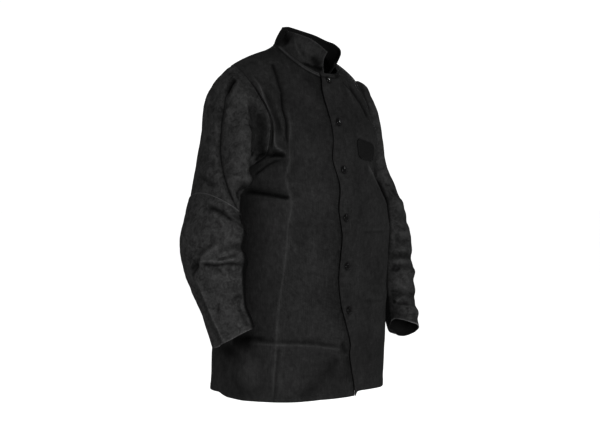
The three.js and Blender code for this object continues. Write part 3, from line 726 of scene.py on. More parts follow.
    def inset_path(self, edge: Edge, inset: float) -> tuple[Array, Array]:
        """A line on the sheet at a distance from one of its edges.

        Args:
            edge: The edge to follow.
            inset: The distance from it.

        Returns:
            The line's points and the outward directions there.
        """
        grids = [self.points, self.normals]
        if edge in (Edge.TOP, Edge.BOTTOM):
            grids = [np.swapaxes(grid, 0, 1) for grid in grids]
        if edge in (Edge.LAST, Edge.BOTTOM):
            grids = [grid[:, ::-1] for grid in grids]
        runs = [run_lengths(row) for row in grids[0]]
        line, facing = (
            np.array([[np.interp(inset, run, part) for part in row.T] for run, row in zip(runs, grid)])
            for grid in grids
        )
        return line, unit(facing)

    def sample(self, a: Array, b: Array) -> tuple[Array, Array]:
        """Points and outward directions of the finished sheet at places across and down it."""
        a, b = np.broadcast_arrays(np.asarray(a, float), np.asarray(b, float))
        rows, columns = self.across.shape
        down = np.interp(b, self.down[:, columns // 2], np.arange(rows))
        r = np.minimum(down.astype(int), rows - 2)
        t = (down - r)[..., None]
        lines = (self.across[r] * (1 - t) + self.across[r + 1] * t).reshape(-1, columns)
        along = np.array([np.interp(x, line, np.arange(columns)) for x, line in zip(a.flat, lines)])
        along = along.reshape(a.shape)
        k = np.minimum(along.astype(int), columns - 2)
        w = (along - k)[..., None]
        points, normals = (
            (grid[r, k] * (1 - w) + grid[r, k + 1] * w) * (1 - t)
            + (grid[r + 1, k] * (1 - w) + grid[r + 1, k + 1] * w) * t
            for grid in (self.points, self.normals)
        )
        return points, unit(normals)

    def to_object(self, wall: float, material: Material, lining: Material) -> Object:
        """Makes the sheet a mesh with a wall behind its outer face.

        Args:
            wall: The thickness, in millimetres.
            material: The finish.
            lining: The finish of the inner face.

        Returns:
            The new object, at the origin.
        """
        rows, columns = self.across.shape
        spans = columns if self.closed else columns - 1
        r, c = np.meshgrid(np.arange(rows - 1), np.arange(spans), indexing="ij")
        following = (c + 1) % columns
        corners = np.stack((r * columns + c, r * columns + following, (r + 1) * columns + following,
                            (r + 1) * columns + c), -1).reshape(-1, 4)
        around = np.linalg.norm(self.points[:, 0] - self.points[:, -1], axis=-1) + self.lengths_across[:, -1]
        u = np.concatenate((self.lengths_across, around[:, None]), axis=1)
        v = np.concatenate((self.lengths_down, self.lengths_down[:, :1]), axis=1)
        uv = np.stack((u, v), -1) * MM
        loops = np.stack((uv[r, c], uv[r, c + 1], uv[r + 1, c + 1], uv[r + 1, c]), -2).reshape(-1, 4, 2)
        if self.facing < 0:
            corners, loops = corners[:, ::-1], loops[:, ::-1]
        mesh = bpy.data.meshes.new(self.name)
        mesh.from_pydata((self.points.reshape(-1, 3) * MM).tolist(), [], corners.tolist())
        mesh.uv_layers.new(name="cloth").data.foreach_set("uv", np.ascontiguousarray(loops).ravel())
        # The paleness from wearing and painted highlight, and the painted shade, go on the mesh for the
        # finishes.
        for name, values in (("rub", self.rub), ("soot", self.soot)):
            layer = mesh.attributes.new(name, "FLOAT", "POINT")
            layer.data.foreach_set("value", np.ascontiguousarray(values.ravel(), np.float32))
        obj = add_object(self.name, mesh)
        mesh.materials.append(material)
        mesh.materials.append(lining)
        make_active(obj)
        solid = obj.modifiers.new("wall", "SOLIDIFY")
        solid.thickness = wall * MM
        solid.offset = -1.0
        solid.material_offset = 1
        bpy.ops.object.modifier_apply(modifier=solid.name)
        bpy.ops.object.shade_smooth()
        return obj

    def area(self) -> float:
        """The area of the outer face, in square metres."""
        p = np.concatenate((self.points, self.points[:, :1]), axis=1) if self.closed else self.points
        first = np.cross(p[:-1, 1:] - p[:-1, :-1], p[1:, 1:] - p[:-1, :-1])
        second = np.cross(p[1:, 1:] - p[:-1, :-1], p[1:, :-1] - p[:-1, :-1])
        doubled = np.linalg.norm(first, axis=-1).sum() + np.linalg.norm(second, axis=-1).sum()
        return float(doubled / 2) * MM * MM


def add_object(name: str, data: bpy.types.ID) -> Object:
    """Puts a mesh, a light or a camera in the scene as a new object."""
    obj = bpy.data.objects.new(name, data)
    bpy.context.scene.collection.objects.link(obj)
    return obj


def make_active(obj: Object) -> None:
    """Selects one object alone and makes it the active one."""
    bpy.ops.object.select_all(action="DESELECT")
    obj.select_set(True)
    bpy.context.view_layer.objects.active = obj


DENSE_COUNT = 600
EDGE_PLACES = (0.0, 0.8, 2.2)


def even_places(length: float, pitch: float, edges: Sequence[float] = EDGE_PLACES) -> Array:
    """Places from 0 to 1 about a pitch apart, with closer ones at both ends."""
    count = max(int((length - 2 * edges[-1]) / pitch), 2)
    inner = np.linspace(edges[-1], length - edges[-1], count + 1)
    ends = np.array(edges[:-1])
    return np.concatenate((ends, inner, (length - ends)[::-1])) / length


def even_stations(run: Callable[[Array], Array], low: float, high: float, pitch: float) -> Array:
    """Stations from low to high that are about a pitch apart along a line of points."""
    dense = np.linspace(low, high, DENSE_COUNT)
    gone = run_lengths(run(dense))
    return np.interp(even_places(gone[-1], pitch) * gone[-1], gone, dense)


class NodeTree:
    """A material's nodes, added one by one around a Principled shader."""

    def __init__(self, name: str) -> None:
        """Starts an empty material with a shader and an output."""
        self.material = bpy.data.materials.new(name)
        self.material.use_nodes = True
        self.tree = self.material.node_tree
        self.tree.nodes.clear()
        output = self.tree.nodes.new("ShaderNodeOutputMaterial")
        self.shader = self.tree.nodes.new("ShaderNodeBsdfPrincipled")
        self.tree.links.new(self.shader.outputs["BSDF"], output.inputs["Surface"])

    def add(
        self, kind: str, output: str, inputs: Mapping[str | int, Socket | float] | None = None,
        **settings: str,
    ) -> Socket:
        """Adds a node.

        Args:
            kind: Its type.
            output: The output to give back.
            inputs: What goes into it, by the input's name or number: sockets or plain values.
            **settings: Its properties.

        Returns:
            The output.
        """
        node = self.tree.nodes.new(kind)
        for name, value in settings.items():
            setattr(node, name, value)
        for name, value in (inputs or {}).items():
            if isinstance(value, Socket):
                self.tree.links.new(value, node.inputs[name])
            else:
                node.inputs[name].default_value = value
        return node.outputs[output]

    def place(self) -> Socket:
        """The piece's own coordinates, in metres."""
        return self.add("ShaderNodeTexCoord", "Object")

    def cloth(self) -> Socket:
        """Distances across and down the cloth, in metres."""
        return self.add("ShaderNodeUVMap", "UV", uv_map="cloth")

    def layer(self, name: str) -> Socket:
        """A value that the mesh carries, from 0 to 1."""
        return self.add("ShaderNodeAttribute", "Fac", attribute_name=name)

    def ribs(self, direction: str, scale: float, distortion: float, detail: float = 2.0) -> Socket:
        """Ribs woven in the cloth, as a socket from 0 to 1."""
        inputs = {"Vector": self.cloth(), "Scale": scale, "Distortion": distortion, "Detail": detail}
        return self.add("ShaderNodeTexWave", "Fac", inputs, wave_type="BANDS", bands_direction=direction)

    def noise(
        self, vector: Socket, scale: float, detail: float, roughness: float = 0.55, distortion: float = 0.0,
    ) -> Socket:
        """A cloudy pattern over a set of coordinates, as a socket from 0 to 1."""
        return self.add("ShaderNodeTexNoise", "Fac", {
            "Vector": vector, "Scale": scale, "Detail": detail, "Roughness": roughness,
            "Distortion": distortion,
        })

    def stretch(self, vector: Socket, x: float, y: float) -> Socket:
        """Coordinates scaled by a different amount each way."""
        return self.add("ShaderNodeMapping", "Vector", {"Vector": vector, "Scale": (x, y, 1.0)})

    def remap(self, value: Socket, low: float, high: float, to_low: float, to_high: float) -> Socket:
        """A value moved from one range to another and kept inside it."""
        return self.add("ShaderNodeMapRange", "Result", {
            "Value": value, "From Min": low, "From Max": high, "To Min": to_low, "To Max": to_high,
        })

    def math(self, operation: str, first: Socket, second: Socket | float) -> Socket:
        """Two values put together by an operation."""
        return self.add("ShaderNodeMath", "Value", {0: first, 1: second}, operation=operation)

    def product(self, first: Socket, *others: Socket | float) -> Socket:
        """Values multiplied together."""
        for other in others:
            first = self.math("MULTIPLY", first, other)
        return first

    def mix(self, *parts: tuple[Socket, float]) -> Socket:
        """A sum of values, each times its share."""
        shared = [self.product(value, share) for value, share in parts]
        total = shared[0]
        for value in shared[1:]:
            total = self.math("ADD", total, value)
        return total

    def feed(self, name: str, value: Socket) -> None:
        """Drives one of the shader's sockets."""
        self.tree.links.new(value, self.shader.inputs[name])

    def dye(self, shade: Socket) -> None:
        """Drives the base colour by a reflectance, as a neutral grey."""
        grey = self.add("ShaderNodeCombineColor", "Color", {"Red": shade, "Green": shade, "Blue": shade})
        self.feed("Base Color", grey)

    def around(self, value: Socket, low: float, high: float, spread: float) -> Socket:
        """A pattern as a factor about 1, from 1 - spread to 1 + spread."""
        return self.remap(value, low, high, 1 - spread, 1 + spread)

    def bump(self, height: Socket, strength: float, distance: float) -> None:
        """Drives the shader's normal by a height."""
        inputs = {"Strength": strength, "Distance": distance, "Height": height}
        self.feed("Normal", self.add("ShaderNodeBump", "Normal", inputs))

    def set(self, **values: float) -> None:
        """Sets the shader's own sockets; underscores stand for spaces."""
        for name, value in values.items():
            self.shader.inputs[name.replace("_", " ")].default_value = value


@dataclass(frozen=True)
class CottonFinish:
    """Black flame-resistant cotton twill, matt, its creases paled a little by wearing.

    Painted highlight lies on crests, and painted shade in creases and hollows.

    Attributes:
        shade: Reflectance of the dye.
        cloud, wash, fleck: How far broad clouds, patches left by washing and fine flecks go each way,
            as shares of the shade.
        warp, weft: The same for the threads that run down the cloth and across it.
        faded: Reflectance that a crease's wearing and painted highlight add.
        sooted: The share of the shade left under full painted shade.
        twill: Distance between the diagonal ribs, in metres.
        thread: Patterns in a metre across a thread, and along it.
    """

    shade: float = 0.0098
    cloud: float = 0.20
    wash: float = 0.25
    fleck: float = 0.20
    warp: float = 0.20
    weft: float = 0.14
    faded: float = 0.022
    sooted: float = 0.12
    twill: float = 0.0009
    thread: tuple[float, float] = (420.0, 40.0)

    def material(self) -> Material:
        """The finish as a material."""
        tree = NodeTree("cotton_twill")
        cloth, place = tree.cloth(), tree.place()
        fine, coarse = self.thread
        ribs = tree.ribs("DIAGONAL", 2 * math.pi / (10 * math.sqrt(2) * self.twill), 1.2, 1.0)
        slub = tree.noise(cloth, fine, 3.0)
        dye = self.shade * (1 - self.cloud), self.shade * (1 + self.cloud)
        shade = tree.product(
            tree.remap(tree.noise(place, 14.0, 4.0), 0.3, 0.7, *dye),
            tree.around(tree.noise(place, 95.0, 5.0, 0.7), 0.3, 0.7, self.wash),
            tree.around(tree.noise(place, 520.0, 2.0), 0.25, 0.75, self.fleck),
            tree.around(tree.noise(tree.stretch(cloth, fine, coarse), 1.0, 3.0, 0.6), 0.3, 0.7, self.warp),
            tree.around(tree.noise(tree.stretch(cloth, coarse, fine), 1.0, 3.0, 0.6), 0.3, 0.7, self.weft),
        )
        patchy = tree.remap(slub, 0.3, 0.65, 0.55, 1.0)
        # Paler where wearing and painted highlight lie, darker where shade is painted.
        worn = tree.product(tree.layer("rub"), patchy, self.faded)
        painted_dark = tree.remap(tree.layer("soot"), 0.0, 1.0, 1.0, self.sooted)
        tree.dye(tree.product(tree.math("ADD", shade, worn), painted_dark))
        tree.feed("Roughness", tree.remap(slub, 0.2, 0.8, 0.82, 0.95))
        tree.bump(tree.mix((ribs, 0.6), (slub, 0.5)), 0.5, 0.00025)
        tree.set(Specular_IOR_Level=0.02, Sheen_Weight=0.002, Sheen_Roughness=0.5)
        return tree.material


@dataclass(frozen=True)
class SuedeFinish:
    """Black split leather with the suede side out: mottled, matt and showing scuffs.

    Painted highlight lies on some crests and on the cuff's edge, and painted shade in creases and on inner
    sides.

    Attributes:
        dark: Reflectance of the deep patches.
        pale: Reflectance of the scuffed patches.
        mottle: Size of the mottling, in metres.
        nap: Size of the fibres' tufts, in metres.
        fibre: How far the tufts go each way, as a share of the shade.
        scuffed: Reflectance that scuffing and painted highlight add.
        sooted: The share of the shade left under full painted shade.
    """

    dark: float = 0.004
    pale: float = 0.0255
    mottle: float = 0.017
    nap: float = 0.0014
    fibre: float = 0.22
    scuffed: float = 0.08
    sooted: float = 0.08

    def material(self) -> Material:
        """The finish as a material."""
        tree = NodeTree("split_leather")
        place = tree.place()
        broad = tree.noise(place, 0.4 / self.mottle, 3.0)
        mottle = tree.noise(place, 1.0 / self.mottle, 6.0, 0.68, 1.2)
        tufts = tree.noise(place, 1.0 / self.nap, 3.0, 0.6)
        grain = tree.noise(place, 0.35 / self.nap, 4.0, 0.7)
        mixed = tree.mix((mottle, 0.55), (broad, 0.18), (grain, 0.27))
        fibres = tree.around(tufts, 0.25, 0.75, self.fibre)
        shade = tree.product(tree.remap(mixed, 0.34, 0.66, self.dark, self.pale), fibres)
        # Paler where scuffing and painted highlight lie, darker where shade is painted.
        worn = tree.product(tree.layer("rub"), grain, self.scuffed)
        painted_dark = tree.remap(tree.layer("soot"), 0.0, 1.0, 1.0, self.sooted)
        tree.dye(tree.product(tree.math("ADD", shade, worn), painted_dark))
        tree.feed("Roughness", tree.remap(mottle, 0.3, 0.7, 0.98, 0.86))
        tree.bump(tree.mix((tufts, 0.35), (grain, 0.65)), 0.6, 0.0009)
        tree.set(Specular_IOR_Level=0.02, Sheen_Weight=0.002, Sheen_Roughness=0.45)
        return tree.material


@dataclass(frozen=True)
class LiningFinish:
    """The inner face of the cloth and the leather: plain black, never paled, kept dark as painted shade."""

    shade: float = 0.006

    def material(self) -> Material:
        """The finish as a material."""
        tree = NodeTree("black_lining")
        weave = tree.noise(tree.place(), 900.0, 3.0)
        tree.dye(tree.remap(weave, 0.3, 0.7, self.shade * 0.7, self.shade * 1.3))
        tree.bump(weave, 0.4, 0.0003)
        tree.set(Roughness=0.95, Specular_IOR_Level=0.01)
        return tree.material


@dataclass(frozen=True)
class EnamelFinish:
    """Black enamel on pressed metal: glossy, with a few fine scuffs."""

    shade: float = 0.0025
    gloss: float = 0.14
    scuff: float = 0.24

    def material(self) -> Material:
        """The finish as a material."""
        tree = NodeTree("snap_enamel")
        place = tree.place()
        scuffs = tree.noise(place, 900.0, 5.0, 0.7)
        waves = tree.noise(place, 160.0, 2.0)
        tree.feed("Roughness", tree.remap(scuffs, 0.52, 0.72, self.gloss, self.scuff))
        tree.dye(tree.remap(scuffs, 0.5, 0.75, self.shade, self.shade * 3))
        tree.bump(waves, 0.15, 0.0004)
        tree.set(Specular_IOR_Level=0.05)
        return tree.material


@dataclass(frozen=True)
class PatchFinish:
    """A blank black patch, satin, with fine ribs."""

    shade: float = 0.004
    rib: float = 0.0011

    def material(self) -> Material:
        """The finish as a material."""
        tree = NodeTree("blank_patch")
        ribs = tree.ribs("X", 2 * math.pi / (20 * self.rib), 0.6)
        slub = tree.noise(tree.cloth(), 700.0, 3.0)
        height = tree.mix((ribs, 0.7), (slub, 0.3))
        tree.dye(tree.remap(height, 0.2, 0.9, self.shade * 0.6, self.shade * 1.5))
        tree.feed("Roughness", tree.remap(slub, 0.2, 0.8, 0.42, 0.62))
        tree.bump(height, 0.5, 0.0003)
        tree.set(Specular_IOR_Level=0.03)
        return tree.material


@dataclass(frozen=True)
class ThreadFinish:
    """Black sewing thread with a slight lustre."""

    shade: float = 0.010

    def material(self) -> Material:
        """The finish as a material."""
        tree = NodeTree("black_thread")
        twist = tree.noise(tree.place(), 2600.0, 2.0)
        tree.dye(tree.remap(twist, 0.3, 0.7, self.shade * 0.7, self.shade * 1.5))
        tree.bump(twist, 0.4, 0.0002)
        tree.set(Roughness=0.7, Specular_IOR_Level=0.04)
        return tree.material


class Wardrobe:
    """The jacket's finishes, made once."""

    def __init__(self) -> None:
        """Makes the materials."""
        self.cotton = CottonFinish().material()
        self.leather = SuedeFinish().material()
        self.lining = LiningFinish().material()
        self.enamel = EnamelFinish().material()
        self.patch = PatchFinish().material()
        self.thread = ThreadFinish().material()


def settle(obj: Object, slot: Slot, *nodes: str) -> None:
    """Puts a piece on the jacket: on its body, in place of the solids it stands for."""
    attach(obj, BODY_NAME)
    if nodes:
        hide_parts(*nodes)
    LOG.info("%s: %d faces", obj.name, len(obj.data.polygons))


@dataclass
class Stitching:
    """Rows of lockstitch, each stitch a small tapered bar half sunk in the cloth.

    Attributes:
        pitch, length: From one stitch to the next, and of one stitch, in millimetres.
        width, proud: Of the thread, and how far it stands out of the cloth.
        straight: The least share of its length between its ends; a stitch bent more is left out.
        verts: The corners of the rows so far.
        faces: Their faces.
        count: The number of corners so far.
    """

    pitch: float = 3.4
    length: float = 2.7
    width: float = 0.8
    proud: float = 0.45
    straight: float = 0.93
    verts: list[Array] = field(default_factory=list)
    faces: list[Array] = field(default_factory=list)
    count: int = 0

    def sew(self, line: Array, normals: Array, closed: bool = False) -> None:
        """Adds one row of stitches.

        Args:
            line: Points on the cloth, in order.
            normals: The outward directions there.
            closed: True where the row goes all the way round.
        """
        if closed:
            line, normals = np.vstack((line, line[:1])), np.vstack((normals, normals[:1]))
        gone = run_lengths(line)
        number = int(gone[-1] / self.pitch)
        if number < 1:
            return
        middles = (np.arange(number) + 0.5) * gone[-1] / number
        at = [
            np.stack([np.interp(middles + share * self.length, gone, line[:, k]) for k in range(3)], -1)
            for share in (-0.5, 0.0, 0.5)
        ]
        kept = np.linalg.norm(at[2] - at[0], axis=1) > self.straight * self.length
        middles, at, number = middles[kept], [side[kept] for side in at], int(kept.sum())
        out = unit(np.stack([np.interp(middles, gone, normals[:, k]) for k in range(3)], -1))
        along = unit(at[2] - at[0])
        out = unit(out - along * np.sum(out * along, -1, keepdims=True))
        across = np.cross(out, along)
        spots = [(-0.5, 0.0, -0.3)]
        for end in (-0.3, 0.3):
            spots += [(end, 0.5, 0.1), (end, 0.0, 1.0), (end, -0.5, 0.1), (end, 0.0, -0.6)]
        spots.append((0.5, 0.0, -0.3))
        corners = np.stack([
            at[1] + along * (l * self.length) + across * (w * self.width) + out * (h * self.proud)
            for l, w, h in spots
        ], axis=1)
        pattern = [(0, 1 + (k + 1) % 4, 1 + k) for k in range(4)]
        pattern += [(1 + k, 1 + (k + 1) % 4, 5 + (k + 1) % 4) for k in range(4)]
        pattern += [(1 + k, 5 + (k + 1) % 4, 5 + k) for k in range(4)]
        pattern += [(9, 5 + k, 5 + (k + 1) % 4) for k in range(4)]
        base = self.count + np.arange(number)[:, None, None] * len(spots)
        self.verts.append(corners.reshape(-1, 3))
        self.faces.append((base + np.array(pattern)[None]).reshape(-1, 3))
        self.count += number * len(spots)

    def to_object(self, name: str, material: Material) -> Object:
        """Makes all the rows one object."""
        mesh = bpy.data.meshes.new(name)
        mesh.from_pydata((np.vstack(self.verts) * MM).tolist(), [], np.vstack(self.faces).tolist())
        mesh.materials.append(material)
        obj = add_object(name, mesh)
        make_active(obj)
        bpy.ops.object.mode_set(mode="EDIT")
        bpy.ops.mesh.select_all(action="SELECT")
        bpy.ops.mesh.normals_make_consistent(inside=False)
        bpy.ops.object.mode_set(mode="OBJECT")
        bpy.ops.object.shade_smooth()
        return obj


# The left front's free edge: section number, and place on X in millimetres.

LEFT_FREE_EDGE = (
    (0, -23), (0.35, -25), (1.33, -34), (3.4, -24), (4.69, -32), (5.36, -28), (6.21, -17.5),
    (6.68, -23.5), (7.17, -16.5), (7.55, -24.5), (7.79, -29), (8.11, -25), (8.29, -15.5), (8.53, -2.5),
    (8.69, -4), (9, 7),
)

# Folds of the cloth, by place across (0 at the centre line, 1 at the side) and section number.
# Many carry painted shade in their grooves and painted highlight on their crests; some are paint alone.

LONG_CREASE = (
    (0.445, 2.2), (0.5, 3), (0.61, 3.8), (0.64, 4.3), (0.622, 4.71), (0.6, 5.07), (0.559, 5.46),
    (0.513, 5.78), (0.482, 6.03), (0.467, 6.2), (0.444, 6.41), (0.427, 6.61), (0.435, 6.79),
    (0.455, 6.95), (0.48, 7.5), (0.54, 8.12), (0.555, 8.48), (0.575, 8.97),
)
CROSS_CREASE = ((0.9, 8.46), (0.845, 8.48), (0.555, 8.48), (0.275, 8.5), (0.03, 8.57))
UPPER_WEDGE = ((1, 5.14), (0.914, 5.07), (0.806, 5.02), (0.655, 5))
LOWER_WEDGE = ((0.93, 6.38), (0.775, 6.4), (0.617, 6.42), (0.435, 6.47))
CHEST_LINE = (
    (0.751, 0.94), (0.597, 1.35), (0.47, 1.87), (0.467, 2.11), (0.582, 3.2), (0.69, 3.98), (0.65, 4.55),
    (0.62, 4.95),
)
PLEAT_BY_CHEST = ((0.66, 1.5), (0.6, 2.2), (0.7, 3.3), (0.765, 4), (0.71, 4.5))
PLEAT_GAP = ((0.7, 2.3), (0.78, 2.98), (0.858, 3.53), (0.833, 4.08), (0.764, 4.4))
PLEAT_BY_ARM = (
    (0.734, 1.6), (0.8, 2.6), (0.91, 3.4), (0.945, 3.83), (0.915, 4.2), (0.872, 4.65), (0.785, 4.81),
    (0.65, 4.9),
)
CURVED_FOLD = ((0.757, 6.15), (0.764, 5.88), (0.808, 5.55), (0.76, 5.32), (0.642, 5.14))
HEM_SLANT = ((0.05, 8.63), (0.067, 8.66), (0.2, 8.82), (0.356, 8.97))
RIGHT_FRONT_FOLDS = (
    Fold(6, 24, LONG_CREASE, ends=(0.2, 0.03)),
    Fold(1.8, 3.5, LONG_CREASE, Profile.PRESSED, (0.1, 0.02), rub=0.4),
    Fold(-5, 8, CHEST_LINE, ends=(0.02, 0.2), soot=0.12),
    Fold(-2.5, 2.8, CHEST_LINE, ends=(0.02, 0.2), soot=0.85),
    Fold(7, 9, PLEAT_BY_CHEST, ends=(0.3, 0.15)),
    Fold(-6, 6, PLEAT_GAP, soot=0.5),
    Fold(9, 9, PLEAT_BY_ARM, ends=(0.35, 0.04)),
    Fold(1.6, 3, PLEAT_BY_ARM, Profile.PRESSED, (0.3, 0.03), rub=0.8),
    Fold(-6, 10, UPPER_WEDGE, ends=(0.05, 0.2), lean=0.4, soot=0.35),
    Fold(-8, 6.5, UPPER_WEDGE, ends=(0.02, 0.2), lean=0.7, soot=1),
    Fold(-8, 12, LOWER_WEDGE, ends=(0.25, 0.1), lean=0.35, soot=0.4),
    Fold(-8, 4.2, LOWER_WEDGE, ends=(0.2, 0.06), lean=0.6, soot=1),
    Fold(3.5, 12, ((0.735, 6.2), (0.68, 5.75), (0.585, 5.42))),
    Fold(-3, 3.2, CURVED_FOLD, soot=0.65),
    Fold(4, 16, CROSS_CREASE, ends=(0.15, 0.1)),
    Fold(1.5, 3, CROSS_CREASE, Profile.PRESSED, (0.3, 0.1), rub=0.42),
    Fold(-3, 19, ((1, 8.49), (0.85, 8.46), (0.7, 8.42)), ends=(0.02, 0.4), soot=0.95),
    Fold(-5, 6, ((1, 8.44), (0.845, 8.43), (0.7, 8.43), (0.565, 8.45)),
         ends=(0.05, 0.35), lean=0.6, soot=0.7),
    Fold(-3, 9, ((1, 8.82), (0.95, 8.87), (0.873, 8.93), (0.76, 8.96)), ends=(0.02, 0.4), soot=0.25),
    Fold(0.01, 24, ((0.86, 8.68), (0.8, 8.76), (0.72, 8.9)), rub=0.14),
    Fold(-0.01, 42, ((0.32, 1.6), (0.26, 3), (0.24, 4.6)), ends=(0.3, 0.4), soot=0.18),
    Fold(-1.6, 3, ((0.535, 8.5), (0.55, 8.75), (0.56, 8.98)), ends=(0.1, 0.02), soot=0.4),
    Fold(-1.5, 4, ((0.8, 8.44), (0.55, 8.445), (0.275, 8.465), (0.05, 8.53)), ends=(0.1, 0.1), soot=0.4),
    Fold(-2, 8, ((0.05, 8.5), (0.02, 8.55), (0, 8.62)), soot=0.6),
    Fold(2, 8, ((0.5, 8.6), (0.4, 8.75), (0.36, 8.9)), rub=0.06),
    Fold(4, 20, ((0.08, 8.62), (0.275, 8.8), (0.37, 8.95)), ends=(0.25, 0.05)),
    Fold(-2.5, 14, HEM_SLANT, ends=(0.1, 0.05), soot=0.38),
    Fold(-0.01, 16, ((0.03, 8.6), (0, 8.75), (0, 8.9)), soot=0.3),
    Fold(-0.01, 26, ((0.42, 0.5), (0.22, 0.7), (0.06, 1)), ends=(0.2, 0.1), soot=0.3),
    Fold(2.2, 6, ((0.455, 6.08), (0.405, 6.23), (0.35, 6.35)), rub=0.1),
    Fold(-2, 5, ((0.44, 6.2), (0.39, 6.33), (0.34, 6.45)), soot=0.2),
)
LEFT_FRONT_FOLDS = (
    Fold(12, 34, ((0.62, 3.3), (0.6, 4.3), (0.55, 5.2)), ends=(0.3, 0.3)),
    Fold(4, 14, ((0.28, 0.5), (0.3, 1.63), (0.46, 3.18))),
    Fold(-3, 5, ((0.32, 0.4), (0.337, 0.81), (0.36, 1.19), (0.39, 1.96), (0.477, 2.89), (0.7, 3.62)),
         ends=(0.1, 0.1), soot=0.55),
    Fold(-4.5, 8, ((0.43, 0.8), (0.456, 1.91), (0.536, 2.89), (0.64, 3.4)), ends=(0.2, 0.2), soot=0.85),
    Fold(3, 12, ((0.55, 0.9), (0.58, 1.9), (0.66, 2.8)), rub=0.1),
    Fold(0.01, 4.5, ((0.29, 0.25), (0.168, 0.65), (0.113, 1.04), (0.08, 1.79)), ends=(0.1, 0.4), rub=0.16),
    Fold(0.01, 4.5, ((0.34, 0.38), (0.283, 0.78), (0.27, 1.22), (0.27, 1.62), (0.295, 2.23)),
         ends=(0.1, 0.4), rub=0.18),
    Fold(-0.01, 12, ((0.23, 0.5), (0.19, 1), (0.17, 1.7)), ends=(0.2, 0.4), soot=0.22),
    Fold(2, 4, ((0.355, 4.9), (0.354, 5.63), (0.404, 6.03), (0.502, 6.25), (0.55, 6.5)),
         Profile.PRESSED, rub=0.7),
    Fold(-3, 9, ((0.47, 5.2), (0.46, 5.7), (0.5, 5.98), (0.6, 6.15), (0.68, 6.4)), soot=0.7),
    Fold(10, 30, ((0.57, 6.2), (0.56, 6.7), (0.55, 7.3), (0.55, 8)), ends=(0.2, 0.6)),
    Fold(3, 18, ((0.2, 7.1), (0.6, 7.1))),
    Fold(0.9, 3, ((0.13, 7.08), (0.435, 7.1)), Profile.PRESSED, rub=0.12),
    Fold(-1, 3, ((0.12, 7.13), (0.44, 7.15)), soot=0.3),
    Fold(3, 18, ((0.2, 8.04), (0.6, 8.06))),
    Fold(0.9, 3, ((0.095, 8.03), (0.385, 8.07)), Profile.PRESSED, rub=0.12),
    Fold(-1, 3, ((0.09, 8.08), (0.39, 8.12)), soot=0.3),
)
BACK_FOLDS = (
    Fold(-3, 17, ((-1, 8.48), (-0.9, 8.47), (-0.8, 8.46)), ends=(0.02, 0.4), soot=0.75),
    Fold(-3, 10, ((-0.82, 8.55), (-0.9, 8.7), (-1, 8.82)), ends=(0.2, 0.02), soot=0.35),
    *(Fold(5, 26, ((0.55 * side, 3.2), (0.5 * side, 4.6), (0.56 * side, 6.2))) for side in (1, -1)),
    *(Fold(-5, 24, ((0.8 * side, 5.6), (0.55 * side, 6.3), (0.2 * side, 6.7))) for side in (1, -1)),
    *(Fold(5, 30, ((0.4 * side, 7.1), (0.46 * side, 8), (0.5 * side, 9))) for side in (1, -1)),
    Fold(1.4, 5, ((0, 1), (0.01, 3), (-0.01, 6), (0, 9)), Profile.PRESSED, (0.2, 0.02), rub=0.3),
    Fold(1.4, 5, ((-0.9, 8.5), (0, 8.52), (0.9, 8.5)), Profile.PRESSED, (0.1, 0.1), rub=0.3),
)

# How much higher the hems hang than the form's: place across, and millimetres, from a section down.

HEM_HANGS_FROM = 8.2
RIGHT_HEM = ((0, 0), (0.2, 2.5), (0.4, 0.5), (0.65, -1), (0.85, -3.5), (1, -2))
BACK_HEM = ((-1, -2), (-0.96, 1), (-0.9, 6), (-0.7, 4), (-0.4, 0), (0.7, 0), (1, -3))
LEFT_HEM = ((0, 10), (0.1, 9), (0.2, 5), (0.4, -3), (0.6, -8), (0.8, -7), (1, -3))

# Unevenness of the cloth and the leather: height and size of each layer, in millimetres.

FRONT_CRUMPLE = ((0.9, 70), (0.5, 26), (0.2, 11))
BACK_CRUMPLE = ((1.2, 80), (0.6, 28), (0.2, 11))
COLLAR_CRUMPLE = ((0.9, 30), (0.4, 13))
SLEEVE_CRUMPLE = ((1.6, 55), (1.0, 24), (0.45, 11), (0.18, 6))

# Painted highlight and painted shade on the cotton: how much, from 0 to 1, and where. Distances are in
# millimetres.

# Painted highlight on the neckline's welt, and painted shade along the neckline.
NECK_HIGHLIGHT = ((0.9, 6.2, 1.4), (0.7, 1.5, 1.2))
NECK_SHADE = (0.7, 10.0, 2.4)
# Painted shade in the armhole seams, and by the wedge under the right arm.
ARMHOLE_SHADE, ARMHOLE_SHADE_WIDTH = 0.85, 7.0
ARMHOLE_SHADE_SECTIONS = {"right_front": (4.6, 5.0, 5.6, 5.9), "left_front": (1.9, 2.4, 4.4, 5.0)}
WEDGE_GAP_SECTION, WEDGE_GAP_HEIGHT, WEDGE_GAP_REACH = 5.1, 0.08, (10, 20)
# Painted shade under the left collar and round the snaps, and the right cuff's shadow painted below it.
UNDER_COLLAR_SHADE, UNDER_COLLAR_PLACES, UNDER_COLLAR_REACH = 0.75, (0.1, 0.2, 0.4, 0.6), (9, 13)
SNAP_SHADE, SNAP_SHADE_RADIUS, SNAP_SHADE_WIDTH = 0.65, 7.5, 2.4
CUFF_SHADOW, CUFF_SHADOW_SECTION, CUFF_SHADOW_HEIGHT, CUFF_SHADOW_REACH = 0.9, 8.575, 0.095, (0, 90)
CUFF_SHADOW_FRONT = 1.6

# How the seams of the body dip and how deep their inner strips are, by section number.

SEAM_DIP = 0.05
SHOULDER_DIP, SHOULDER_DIP_SECTIONS = 0.25, (2.6, 3)
CHEST_DIP, CHEST_DIP_SECTIONS = 0.6, (3, 3.6, 4.8, 5.2)
SIDE_RISE, SIDE_RISE_SECTIONS = 0.25, (ARMPIT, 6.4)
STRIP_DEPTH = 5.0
STRIP_SHORT_AT_TIP, STRIP_TIP_HEIGHT = 4.4, 0.25
STRIP_SHORT_AT_SIDE, STRIP_SIDE_SECTIONS = 4.0, (5.9, 6.2)
BACK_STRIP_DEEPER, BACK_STRIP_SECTIONS = 2.2, (5.7, 6.1)
BACK_LEDGE, BACK_LEDGE_WIDER = 0.4, 2.4
